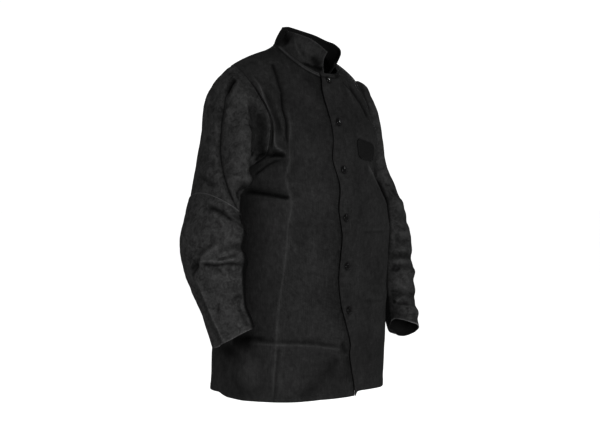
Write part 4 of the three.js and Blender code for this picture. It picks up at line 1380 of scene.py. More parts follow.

# Folds of the leather, by share of the way round the arm (0 outside, 0.25 front) and ring number.
# Many carry painted shade in their grooves and painted highlight on their crests; some are paint alone.

LENGTH_CREASE = (
    (0.075, 0.95), (0.057, 1.75), (0.045, 2.2), (0.041, 2.75), (0.04, 3.5), (0.05, 4.44), (0.09, 5.13),
    (0.148, 5.76), (0.216, 6.3), (0.25, 6.6), (0.265, 6.86), (0.263, 7.25),
)
ARMHOLE_VALLEY = ((0.15, 0.55), (0.21, 0.6), (0.27, 0.62), (0.34, 0.52), (0.4, 0.4))
ELBOW_RIDGE = (
    (0.965, 9.06), (0, 9.14), (0.04, 9.22), (0.09, 9.4), (0.15, 9.42), (0.21, 9.54), (0.3, 9.6),
)
FOREARM_RIDGE = ((0.93, 9.7), (0.942, 10.3), (0.94, 10.84), (0.96, 12))
RIGHT_SLEEVE_FOLDS = (
    Fold(-20, 15, ARMHOLE_VALLEY, ends=(0.25, 0.1), soot=0.55),
    Fold(13, 24, ((0.24, 1.3), (0.3, 2.6), (0.345, 3.8), (0.345, 5.2)), ends=(0.15, 0.25)),
    Fold(13, 20, ((0.335, 3.6), (0.33, 4.4), (0.325, 5), (0.33, 5.8)), ends=(0.35, 0.5)),
    Fold(-5, 6, ((0.3, 5), (0.275, 5.5), (0.3, 5.95)), soot=0.8),
    Fold(-0.01, 18, ((0.3, 4.8), (0.28, 5.4), (0.285, 6)), soot=0.5),
    Fold(-4, 4, ((0.335, 4.9), (0.3, 5.35), (0.264, 5.7)), soot=0.85),
    Fold(-3, 5, ((0.24, 5.65), (0.27, 5.95), (0.31, 6.02)), soot=0.7),
    Fold(4, 11, ((0.92, 0.45), (0.97, 0.46), (0.02, 0.48)), ends=(0.3, 0.3)),
    Fold(-6, 24, ((0.88, 1.9), (0.94, 2.1), (0.99, 2), (0.03, 1.8)), ends=(0.25, 0.35)),
    Fold(-4, 24, ((0.91, 2.5), (0.9, 3.3), (0.905, 4.4)), ends=(0.35, 0.35)),
    Fold(-0.01, 26, ((0.19, 0.3), (0.26, 0.32), (0.33, 0.27), (0.4, 0.15)), ends=(0.15, 0.1), soot=0.75),
    Fold(-5, 6, ((0.415, 0.45), (0.39, 0.22), (0.37, 0.05)), ends=(0.3, 0.01), soot=1),
    Fold(-6, 12, LENGTH_CREASE, ends=(0.1, 0.2), lean=0.5, soot=0.3),
    Fold(-3, 2.4, LENGTH_CREASE, ends=(0.05, 0.05), soot=0.85),
    Fold(-5, 8, ((0.075, 0.9), (0.065, 1.35), (0.052, 1.9), (0.041, 2.45)), ends=(0.15, 0.3), soot=0.95),
    Fold(-1, 12, ((0.038, 2.6), (0.036, 3.1), (0.04, 3.6)), soot=0.5),
    Fold(-3, 3.5, ((0.25, 1), (0.29, 0.96), (0.335, 0.86), (0.385, 0.64)), ends=(0.1, 0.1), soot=0.95),
    Fold(6, 12, ((0.04, 6.75), (0.15, 7.2), (0.27, 7.95)), ends=(0.25, 0.1)),
    Fold(-7, 8, ((0.15, 6.85), (0.26, 7.12), (0.34, 7.2), (0.44, 7.2)), ends=(0.25, 0.05), soot=0.5),
    Fold(5, 10, ((0.15, 7.85), (0.27, 8.05), (0.44, 8.1)), ends=(0.3, 0.05)),
    Fold(-6, 8, ((0.12, 8.6), (0.25, 8.87), (0.44, 8.9)), ends=(0.25, 0.05), soot=0.4),
    Fold(3.5, 7, ELBOW_RIDGE, ends=(0.1, 0.25)),
    Fold(1.2, 2.6, ELBOW_RIDGE[:6], Profile.PRESSED, (0.1, 0.2), rub=0.3),
    Fold(-3, 3.2, ((0.985, 9.25), (0.02, 9.36), (0.06, 9.52), (0.115, 9.6), (0.17, 9.68), (0.25, 9.85)),
         ends=(0.15, 0.2), soot=0.75),
    Fold(7, 15, ((0.2, 9.5), (0.32, 9.58), (0.44, 9.6)), ends=(0.4, 0.05)),
    Fold(7, 20, ((0.23, 11.1), (0.23, 12)), ends=(0.7, 0.01)),
    Fold(-3.5, 7, ((0.905, 9.3), (0.94, 9.22), (0.985, 9.14)), soot=0.8),
    Fold(-3, 5, ((0.93, 8.95), (0.96, 9), (0, 9.02)), soot=0.5),
    Fold(-3, 5, ((0.895, 9.65), (0.93, 9.42), (0.975, 9.2)), soot=0.75),
    Fold(2.5, 6, ((0.975, 9), (0.022, 8.89), (0.132, 8.52)), rub=0.14),
    Fold(-2, 5, ((0.965, 8.85), (0.03, 8.6), (0.1, 8.3)), soot=0.3),
    Fold(-2, 4, ((0.064, 9.32), (0.14, 9.3), (0.218, 9.13)), soot=0.45),
    Fold(-2.5, 5, ((0.03, 9.42), (0.06, 9.7), (0.08, 9.95)), soot=0.35),
    Fold(-2.5, 6, ((0.1, 9.75), (0.14, 10), (0.17, 10.25)), soot=0.35),
    Fold(2, 6, ((0.09, 9.7), (0.11, 9.95), (0.13, 10.3)), rub=0.08),
    Fold(4, 9, FOREARM_RIDGE, ends=(0.2, 0.03)),
    Fold(1.6, 3.5, FOREARM_RIDGE, Profile.PRESSED, (0.2, 0.03), rub=0.25),
    Fold(-4, 13, ((0.875, 9.7), (0.882, 10.5), (0.885, 11.2), (0.9, 12)), ends=(0.2, 0.03), soot=0.22),
    Fold(-4, 5, ((0.028, 6.55), (0.146, 7), (0.22, 7.6)), soot=0.8),
    Fold(-2.5, 4, ((0.1, 10.86), (0.163, 10.77), (0.226, 10.84)), soot=0.55),
    Fold(-2, 3.5, ((0.165, 10.82), (0.158, 11.13), (0.165, 11.48), (0.172, 11.9)),
         ends=(0.1, 0.1), soot=0.4),
    Fold(-2.5, 6, ((0.85, 4.6), (0, 4.85), (0.06, 5.1)), soot=0.3),
    Fold(2.5, 8, ((0.86, 4.95), (0, 5.2), (0.07, 5.5))),
    Fold(-2.5, 6, ((0.87, 5.3), (0, 5.55), (0.09, 5.9)), soot=0.4),
)
LEFT_SLEEVE_FOLDS = (
    Fold(-14, 16, ((0.17, 0.62), (0.23, 0.7), (0.29, 0.68), (0.35, 0.55)), soot=0.3),
    Fold(7, 30, ((0.1, 6.8), (0.11, 8.6), (0.11, 10.6)), ends=(0.25, 0.2)),
    Fold(9, 26, ((0.6, 10.6), (0.6, 12)), ends=(0.5, 0.02)),
    Fold(11, 26, ((0.92, 0.8), (0, 0.8), (0.1, 0.8)), ends=(0.4, 0.4)),
    Fold(11, 32, ((0.1, 4.6), (0.11, 5.6), (0.12, 6.4), (0.13, 7.6)), ends=(0.4, 0.15)),
    Fold(6, 22, ((0.11, 10.3), (0.11, 11.3)), ends=(0.4, 0.4)),
    Fold(6, 12, ((0.35, 5.6), (0.27, 6.1), (0.15, 6.5), (0.05, 6.8))),
    Fold(-4, 9, ((0.36, 6.5), (0.25, 7), (0.12, 7.5)), soot=0.3),
    Fold(2, 13, ((0.36, 8), (0.2, 8.3), (0.05, 8.6))),
    Fold(-4, 8, ((0.4, 9.45), (0.25, 9.62), (0.14, 9.62), (0.06, 9.5)), soot=0.6),
    Fold(2, 4, ((0.347, 9.75), (0.132, 9.82)), Profile.PRESSED, rub=0.25),
    Fold(-3, 5, ((0.38, 9.95), (0.25, 10.05), (0.15, 10)), soot=0.45),
    Fold(5, 12, ((0.4, 10.2), (0.2, 10.3), (0, 10.2))),
    Fold(-3, 8, ((0.5, 10.9), (0.25, 10.95), (0, 10.95), (0.8, 10.9)), soot=0.5),
    Fold(5, 9, ((0.5, 11.35), (0.25, 11.45), (0, 11.45), (0.75, 11.4))),
    Fold(1.5, 4, ((0.458, 11.2), (0.292, 11.38), (0.076, 11.43)), Profile.PRESSED, rub=0.25),
    Fold(-3, 5, ((0.292, 5.1), (0.174, 6.12), (0.174, 6.65)), soot=0.5),
    Fold(-2.5, 6, ((0.34, 8.5), (0.24, 8.75), (0.16, 8.7)), soot=0.35),
    Fold(-2.5, 5, ((0.37, 10), (0.32, 10.15), (0.27, 10.05)), soot=0.6),
    Fold(1.5, 4, ((0.28, 10.4), (0.197, 10.46)), Profile.PRESSED, rub=0.2),
    Fold(-3, 5, ((0.43, 11), (0.37, 11.25), (0.29, 11.3), (0.2, 11.2)), soot=0.6),
    Fold(-2.5, 4, ((0.41, 10.7), (0.33, 10.85), (0.26, 11.1)), soot=0.5),
    Fold(2, 4, ((0.4, 11.4), (0.33, 11.1), (0.22, 11)), Profile.PRESSED, rub=0.3),
    Fold(-2.5, 5, ((0.31, 7.4), (0.26, 7.8), (0.2, 8.1)), soot=0.35),
)
# Where round each sleeve the armhole's hidden part is painted with shade.
ARMHOLE_SHADE_ROUND = {Side.RIGHT: (0.34, 0.38, 0.46, 0.5), Side.LEFT: (0.02, 0.08, 0.3, 0.36)}
SLEEVE_SEED = {Side.RIGHT: 50, Side.LEFT: 60}

# The cuffs' slant: share of the way round, and how much longer the sleeve is there, from a ring down.

CUFF_SLANT_FROM = 10.4
RIGHT_CUFF = (
    (-0.1, 7.2), (0, 5.9), (0.1, 1.9), (0.2, -3.1), (0.3, -7.2), (0.4, -9), (0.5, -7.7), (0.6, -3.7),
    (0.7, 1.3), (0.8, 5.4), (0.9, 7.2), (1, 5.9), (1.1, 1.9),
)
LEFT_CUFF = (
    (-0.1, 11.5), (0, 11), (0.1, 8), (0.2, 4), (0.263, -1), (0.32, -7.5), (0.38, -14), (0.44, -19),
    (0.49, -19), (0.54, -12), (0.6, -3), (0.7, 6), (0.8, 10.5), (0.9, 11.5), (1, 11), (1.1, 8),
)

# The painted shade on the inner side of a sleeve: ring number, and the share of the way round where it
# starts.

RIGHT_SLEEVE_SHADE = (
    (0, 0.5), (2.5, 0.4), (4, 0.335), (5.5, 0.31), (6.3, 0.278), (7, 0.25), (9, 0.228), (12, 0.19),
)
LEFT_SLEEVE_SHADE = (
    (0, 0.5), (3, 0.38), (4.4, 0.31), (6, 0.295), (8, 0.32), (9.5, 0.35), (10.2, 0.365), (10.8, 0.405),
    (11.4, 0.445), (12, 0.47),
)

# The collar's lower ends and its folds, by place along it and share of its height; the folds carry painted
# shade and painted highlight.

COLLAR_CORNERS = (
    (-6, 0.12), (-5.5, 0.03), (-5, 0), (3.4, 0), (4, 0.1), (4.5, 0.18), (5, 0.27), (5.6, 0.44), (6, 0.58),
)
COLLAR_FOLDS = (
    Fold(-8, 20, ((-2.35, 0), (-2.35, 1.3)), ends=(0.05, 0.001)),
    Fold(-0.01, 26, ((-2.2, 0), (-2.35, 1.3)), ends=(0.01, 0.01), soot=0.6),
    Fold(-0.01, 15, ((-2.5, 0.62), (-3, 0.55), (-3.65, 0.42)), soot=1),
    Fold(-6, 9, ((-2.4, 0.88), (-3, 0.62), (-3.6, 0.36)), soot=0.95),
    Fold(3, 5, ((-4, 0.9), (-4.3, 0.5), (-4.7, 0.2)), rub=0.22),
    Fold(-3, 4, ((-4.35, 0.75), (-4.5, 0.52), (-4.78, 0.24)), soot=0.4),
    Fold(2, 5, ((-4.75, 0.92), (-4.85, 0.6), (-5, 0.35)), rub=0.12),
    Fold(-4, 3.2, ((-4.5, 0.02), (-5.1, 0.08), (-5.85, 0.12)), ends=(0.3, 0.02), soot=1),
    Fold(-4, 7, ((-5.2, 0.1), (-5.5, 0.14), (-5.9, 0.15)), ends=(0.4, 0.02), soot=1),
    Fold(-3, 9, ((-5.25, 0.5), (-5.45, 0.38), (-5.75, 0.25)), ends=(0.3, 0.1), soot=0.85),
    Fold(0.01, 20, ((-4.1, 0.85), (-4.5, 0.5), (-4.8, 0.3)), rub=0.13),
)


@dataclass
class CottonBody:
    """The cotton body: the back and the two fronts, with their seams, hems and fly.

    Attributes:
        form: The jacket's smooth form.
        wardrobe: The finishes.
        sewing: The stitching of the cotton pieces.
        wall: The cloth's thickness, in millimetres.
        pitch: The fronts' grid spacing.
        back_pitch: The back's grid spacing.
        hem: The depth of the turned hem.
        fly: The width of the doubled strip along the left front's free edge.
        facing: The width of the same strip of the right front.
        neck_band, nape_band: Depths of the doubled necklines of a front and of the back.
        doubled, neck_doubled: How far a doubled strip stands out, and a front's neckline.
        row_in: From the inner edge of a doubled strip to its row of stitching.
        edge_row, neck_row, armhole_row: From a free edge, a neckline and an armhole to their rows.
        armhole_row_to: The section at which an armhole's row ends.
        row_press, edge_row_press: Depth and width of the valley under a row, and under the free edge's.
        held: Distances from a seam between which folds go from none to full.
        level: The section that the grid's columns are spaced at.
    """

    form: JacketForm
    wardrobe: Wardrobe
    sewing: Stitching
    wall: float = 1.5
    pitch: float = 2.45
    back_pitch: float = 3.3
    hem: float = 13.0
    fly: float = 37.0
    facing: float = 30.0
    neck_band: float = 7.5
    nape_band: float = 6.0
    doubled: float = 0.7
    neck_doubled: float = 1.8
    row_in: float = 2.5
    edge_row: float = 3.0
    neck_row: float = 3.5
    armhole_row: float = 4.0
    armhole_row_to: float = 4.6
    row_press: tuple[float, float] = (0.5, 1.6)
    edge_row_press: tuple[float, float] = (0.35, 1.4)
    held: tuple[float, float] = (1, 12)
    level: float = 7.0

    def _front_grid(self, side: Side) -> tuple[Array, Array]:
        """Places across and sections of a front's grid, from its free edge to the side."""
        body = self.form.body
        rows = even_stations(lambda v: body(Half.FRONT, 1, np.full_like(v, 0.5), v), NECK, HEM, self.pitch)
        x = np.full_like(rows, -UNDERLAP)
        if side is Side.LEFT:
            edge = smooth_run(LEFT_FREE_EDGE)
            x = np.interp(rows, edge[:, 0], edge[:, 1]) - self.form.section["sway"](rows)
        start = self.form.start_across(x, rows)[:, None]
        first = float(self.form.start_across(np.array(-UNDERLAP), np.array(self.level)))
        shares = even_stations(
            lambda t: body(Half.FRONT, 1, first + (1 - first) * t, np.full_like(t, self.level)),
            0, 1, self.pitch,
        )
        return start + (1 - start) * shares[None], rows[:, None]

    def _free(self, sheet: Sheet, edges: Sequence[Edge]) -> Array:
        """How far folds may move each point: nothing at the sewn edges."""
        free = np.ones(sheet.across.shape)
        for edge in edges:
            free = free * smoothstep(sheet.margin(edge), *self.held)
        return free

    @staticmethod
    def _sharp(v: Array) -> Array:
        """How near a section is to the shoulder tip's or the armpit's, where the form turns sharply."""
        return bell(v, SHOULDER_TIP, 0.3) + bell(v, ARMPIT, 0.35)

    @staticmethod
    def _allowance(v: Array) -> Array:
        """Depth of the strip in a seam: short at the shoulder's tip and down the side."""
        short = STRIP_SHORT_AT_SIDE * smoothstep(v, *STRIP_SIDE_SECTIONS)
        return STRIP_DEPTH - STRIP_SHORT_AT_TIP * bell(v, SHOULDER_TIP, STRIP_TIP_HEIGHT) - short

    @staticmethod
    def _dip(v: Array) -> Array:
        """How far a front dips into its seam: more at the chest, less below the armpit."""
        chest = CHEST_DIP * window(v, *CHEST_DIP_SECTIONS)
        side = SIDE_RISE * smoothstep(v, *SIDE_RISE_SECTIONS)
        return SEAM_DIP + SHOULDER_DIP * smoothstep(v, *SHOULDER_DIP_SECTIONS) + chest - side

    @staticmethod
    def _cuff_soot(v: Array, beside: Array) -> Array:
        """Painted shadow of the right cuff by the side seam just below it, by section and distance from the
        seam.
        """
        near = 1 - smoothstep(beside, *CUFF_SHADOW_REACH)
        return CUFF_SHADOW * bell(v, CUFF_SHADOW_SECTION, CUFF_SHADOW_HEIGHT) * near

    @staticmethod
    def _hang(sheet: Sheet, hem: Line) -> None:
        """Raises or lowers the hem by amounts given at places across."""
        low = smoothstep(sheet.down, HEM_HANGS_FROM, HEM)
        sheet.points[..., 2] += np.interp(sheet.across, *zip(*hem)) * low
        sheet.refresh()

    def right_front(self) -> Sheet:
        """The right front, which runs on under the left one."""
        across, rows = self._front_grid(Side.RIGHT)
        sheet = Sheet("right_front", lambda s, v: self.form.body(Half.FRONT, -1, s, v), across, rows, 1)
        free = self._free(sheet, (Edge.LAST, Edge.TOP))
        sheet.relax(free * self._sharp(sheet.down))
        self._hang(sheet, RIGHT_HEM)
        sheet.fold(RIGHT_FRONT_FOLDS, free)
        sheet.crumple(FRONT_CRUMPLE, 3, free)
        self._finish_edges(sheet, self.facing)
        return sheet

    def left_front(self) -> Sheet:
        """The left front, which laps over the right one and carries the snaps' caps."""
        across, rows = self._front_grid(Side.LEFT)
        sheet = Sheet("left_front", lambda s, v: self.form.body(Half.FRONT, 1, s, v), across, rows, -1)
        free = self._free(sheet, (Edge.LAST, Edge.TOP))
        sheet.relax(free * self._sharp(sheet.down))
        lift = FLAP_LIFT * (1 - smoothstep(sheet.points[..., 0], FLAP_FLAT_TO, FLAP_GONE_BY))
        edge = bell(sheet.margin(Edge.FIRST), 0, EDGE_WAVE_REACH)
        heights = sheet.points * np.array((0, 0, 1))
        wave = EDGE_WAVE + EDGE_WAVE_SWING * lattice_noise(heights, EDGE_WAVE_SIZE, 21)
        sheet.rise(lift + edge * wave * free)
        sheet.refresh()
        self._hang(sheet, LEFT_HEM)
        inward, upward = TIP_REACH
        tip = bell(sheet.margin(Edge.FIRST), 0, inward) * bell(sheet.margin(Edge.BOTTOM), 0, upward)
        sheet.points[..., 2] -= TIP_DROP * tip
        sheet.refresh()
        sheet.fold(LEFT_FRONT_FOLDS, free)
        sheet.crumple(FRONT_CRUMPLE, 13, free)
        self._soil_snaps(sheet)
        self._finish_edges(sheet, self.fly)
        return sheet

    def _soil_snaps(self, sheet: Sheet) -> None:
        """Paints shade on the cloth round each snap's cap."""
        v = np.array(SNAP_SECTIONS)
        seats, _ = sheet.sample(self.form.start_across(SNAP_X - self.form.section["sway"](v), v), v)
        for seat in seats:
            away = np.linalg.norm(sheet.points - seat, axis=-1)
            sheet.darken(SNAP_SHADE * bell(away, SNAP_SHADE_RADIUS, SNAP_SHADE_WIDTH))

    def _finish_edges(self, sheet: Sheet, strip: float) -> None:
        """Doubles a front's free edge, hem and neckline and sews them, then tucks its seam in."""
        bands = (
            (Edge.FIRST, strip, self.doubled), (Edge.BOTTOM, self.hem, self.doubled),
            (Edge.TOP, self.neck_band, self.neck_doubled),
        )
        for edge, width, height in bands:
            sheet.band(edge, width, height, 1.2)
            sheet.press(edge, width - self.row_in, *self.row_press)
        sheet.press(Edge.FIRST, self.edge_row, *self.edge_row_press)
        self._soil_edges(sheet)
        sheet.refresh()
        rows = (
            (Edge.FIRST, self.edge_row), (Edge.FIRST, strip - self.row_in),
            (Edge.BOTTOM, self.hem - self.row_in), (Edge.TOP, self.neck_row),
        )
        for edge, inset in rows:
            self.sewing.sew(*sheet.inset_path(edge, inset))
        v = sheet.down[:, -1]
        line, facing = sheet.inset_path(Edge.LAST, self.armhole_row)
        self.sewing.sew(line[v < self.armhole_row_to], facing[v < self.armhole_row_to])
        sheet.tuck(Edge.LAST, back=0.1, down=self._dip(v), allowance=self._allowance(v))

    def _soil_edges(self, sheet: Sheet) -> None:
        """Paints light and shade on a front's edges.

        Highlight goes on the neckline's welt; shade in the armhole and along the neckline, by the wedge under
        the right arm, below the right cuff as its shadow, and under the collar on the left front.
        """
        right = sheet.name == "right_front"
        v, below, beside = sheet.down, sheet.margin(Edge.TOP), sheet.margin(Edge.LAST)
        for amount, distance, width in NECK_HIGHLIGHT:
            sheet.wear(amount * (1.0 if right else 0.15) * bell(below, distance, width))
        deep = window(v, *ARMHOLE_SHADE_SECTIONS[sheet.name])
        sheet.darken(ARMHOLE_SHADE * deep * bell(beside, 0, ARMHOLE_SHADE_WIDTH))
        if right:
            near = 1 - smoothstep(beside, *WEDGE_GAP_REACH)
            sheet.darken(bell(v, WEDGE_GAP_SECTION, WEDGE_GAP_HEIGHT) * near)
            sheet.darken(self._cuff_soot(v, beside * CUFF_SHADOW_FRONT))
        else:
            hidden = window(sheet.across, *UNDER_COLLAR_PLACES)
            sheet.darken(UNDER_COLLAR_SHADE * hidden * (1 - smoothstep(below, *UNDER_COLLAR_REACH)))
        amount, distance, width = NECK_SHADE
        sheet.darken(amount * bell(below, distance, width))

    def back(self) -> Sheet:
        """The back, one piece from side seam to side seam."""
        body, pitch = self.form.body, self.back_pitch
        rows = even_stations(lambda v: body(Half.BACK, 1, np.full_like(v, 0.5), v), NECK, HEM, pitch)
        half = even_stations(lambda t: body(Half.BACK, 1, t, np.full_like(t, self.level)), 0, 1, pitch)[2:]
        columns = np.concatenate((-half[::-1], [0.0], half))
        sheet = Sheet(
            "back", lambda s, v: body(Half.BACK, np.where(np.asarray(s) < 0, -1.0, 1.0), np.abs(s), v),
            columns[None], rows[:, None], 1,
        )
        free = self._free(sheet, (Edge.FIRST, Edge.LAST, Edge.TOP))
        self._hang(sheet, BACK_HEM)
        sheet.fold(BACK_FOLDS, free)
        sheet.crumple(BACK_CRUMPLE, 31, free)
        for edge, width in ((Edge.BOTTOM, self.hem), (Edge.TOP, self.nape_band)):
            inset = width - self.row_in
            sheet.band(edge, width, self.doubled)
            sheet.press(edge, inset, *self.row_press)
            sheet.refresh()
            self.sewing.sew(*sheet.inset_path(edge, inset))
        # The right cuff's painted shadow, on the back beside the side seam.
        sheet.darken(self._cuff_soot(sheet.down, sheet.margin(Edge.FIRST)))
        v = sheet.down[:, -1]
        under = smoothstep(v, *BACK_STRIP_SECTIONS)
        depth, ledge = self._allowance(v) + BACK_STRIP_DEEPER * under, BACK_LEDGE + BACK_LEDGE_WIDER * under
        for edge in (Edge.FIRST, Edge.LAST):
            sheet.tuck(edge, back=0.1, down=SEAM_DIP, allowance=depth, ledge=ledge)
        return sheet

    def build(self) -> dict[str, Sheet]:
        """Builds the three pieces and puts them on the jacket.

        Returns:
            The finished sheets by name, for what sits on them.
        """
        sheets = {}
        for sheet, node, flat in (
            (self.back(), "back_panel", (0.66, 0.80)),
            (self.right_front(), "right_front_panel", (0.36, 0.80)),
            (self.left_front(), "left_front_panel", (0.36, 0.80)),
        ):
            obj = sheet.to_object(self.wall, self.wardrobe.cotton, self.wardrobe.lining)
            settle(obj, Slot.COTTON, node)
            min(sheet.area(), flat[0] * flat[1])
            sheets[sheet.name] = sheet
        return sheets


@dataclass
class Collar:
    """The short stand collar, of doubled cotton, open at the throat.

    Attributes:
        form: The jacket's smooth form.
        wardrobe: The finishes.
        sewing: The stitching of the cotton pieces.
        wall: Its doubled thickness, in millimetres.
        bulge: How far it swells between its foot and its top.
        foot_lift: How far its foot stands above the neckline.
        end_hollow: How far its front ends curve back at half height, along the table's rows.
        left_tuck: How far inside the neckline its left foot stands.
        peak: How far its top stands up where the right side turns to the back.
        row_in: From its edges to their row of stitching.
        worn: How pale its right edges are from wearing and painted highlight, from 0 to 1.
        sooted: How dark the shade painted on its left end is, from 0 to 1.
    """

    form: JacketForm
    wardrobe: Wardrobe
    sewing: Stitching
    wall: float = 3.0
    bulge: float = 2.5
    foot_lift: float = 1.2
    end_hollow: float = 0.18
    left_tuck: float = 9.0
    peak: float = 4.0
    row_in: float = 4.0
    worn: float = 0.45
    sooted: float = 0.97

    def _point(self, t: Array, h: Array) -> Array:
        """Points of the collar: t from the right end to the left end, h from the foot to the top."""
        t, h = np.broadcast_arrays(np.asarray(t, float), np.asarray(h, float))
        swell = np.sin(math.pi * np.clip(h, 0, 1))
        low = np.interp(t, *zip(*COLLAR_CORNERS))
        t = t * (1 - self.end_hollow / COLLAR_END * swell * smoothstep(np.abs(t), 3.5, 6))
        h = h * (1 - low)
        height = np.clip(h, 0, 1)
        foot = self.form.collar_foot(t) + np.array((0, 0, self.foot_lift))
        p = foot + (self.form.collar_top(t) - foot) * h[..., None]
        p[..., 2] += self.peak * height * bell(t, -2.3, 0.5)
        out = unit((p - COLLAR_MIDDLE) * np.array((1, 1, 0)))
        inside = self.left_tuck * window(t, 3, 4.2, 5.2, 6) * (1 - height)
        return p + out * (self.bulge * np.sin(math.pi * height) - inside)[..., None]

    def build(self) -> Sheet:
        """Builds the collar and puts it on the jacket."""
        columns = even_stations(lambda t: self._point(t, np.full_like(t, 0.5)), -COLLAR_END, COLLAR_END, 2.6)
        rows = np.linspace(-0.1, 1, 27)
        sheet = Sheet("collar_stand", self._point, columns[None], rows[:, None], -1)
        free = smoothstep(sheet.margin(Edge.TOP), 1, 8)
        sheet.fold(COLLAR_FOLDS, free)
        sheet.crumple(COLLAR_CRUMPLE, 41, free)
        # Painted shade on the left end.
        sheet.darken(self.sooted * smoothstep(sheet.across, 3.8, 4.8))
        edges = (Edge.BOTTOM, Edge.FIRST, Edge.LAST)
        for edge in edges:
            sheet.press(edge, self.row_in, 0.5, 1.6)
            # The right edges paler: wearing and painted highlight.
            right = 1 - smoothstep(sheet.across, -1, 2)
            sheet.wear(self.worn * right * bell(sheet.margin(edge), 0, 1.8))
        sheet.refresh()
        for edge in edges:
            self.sewing.sew(*sheet.inset_path(edge, self.row_in))
        obj = sheet.to_object(self.wall, self.wardrobe.cotton, self.wardrobe.lining)
        settle(obj, Slot.COTTON, "collar")
        return sheet


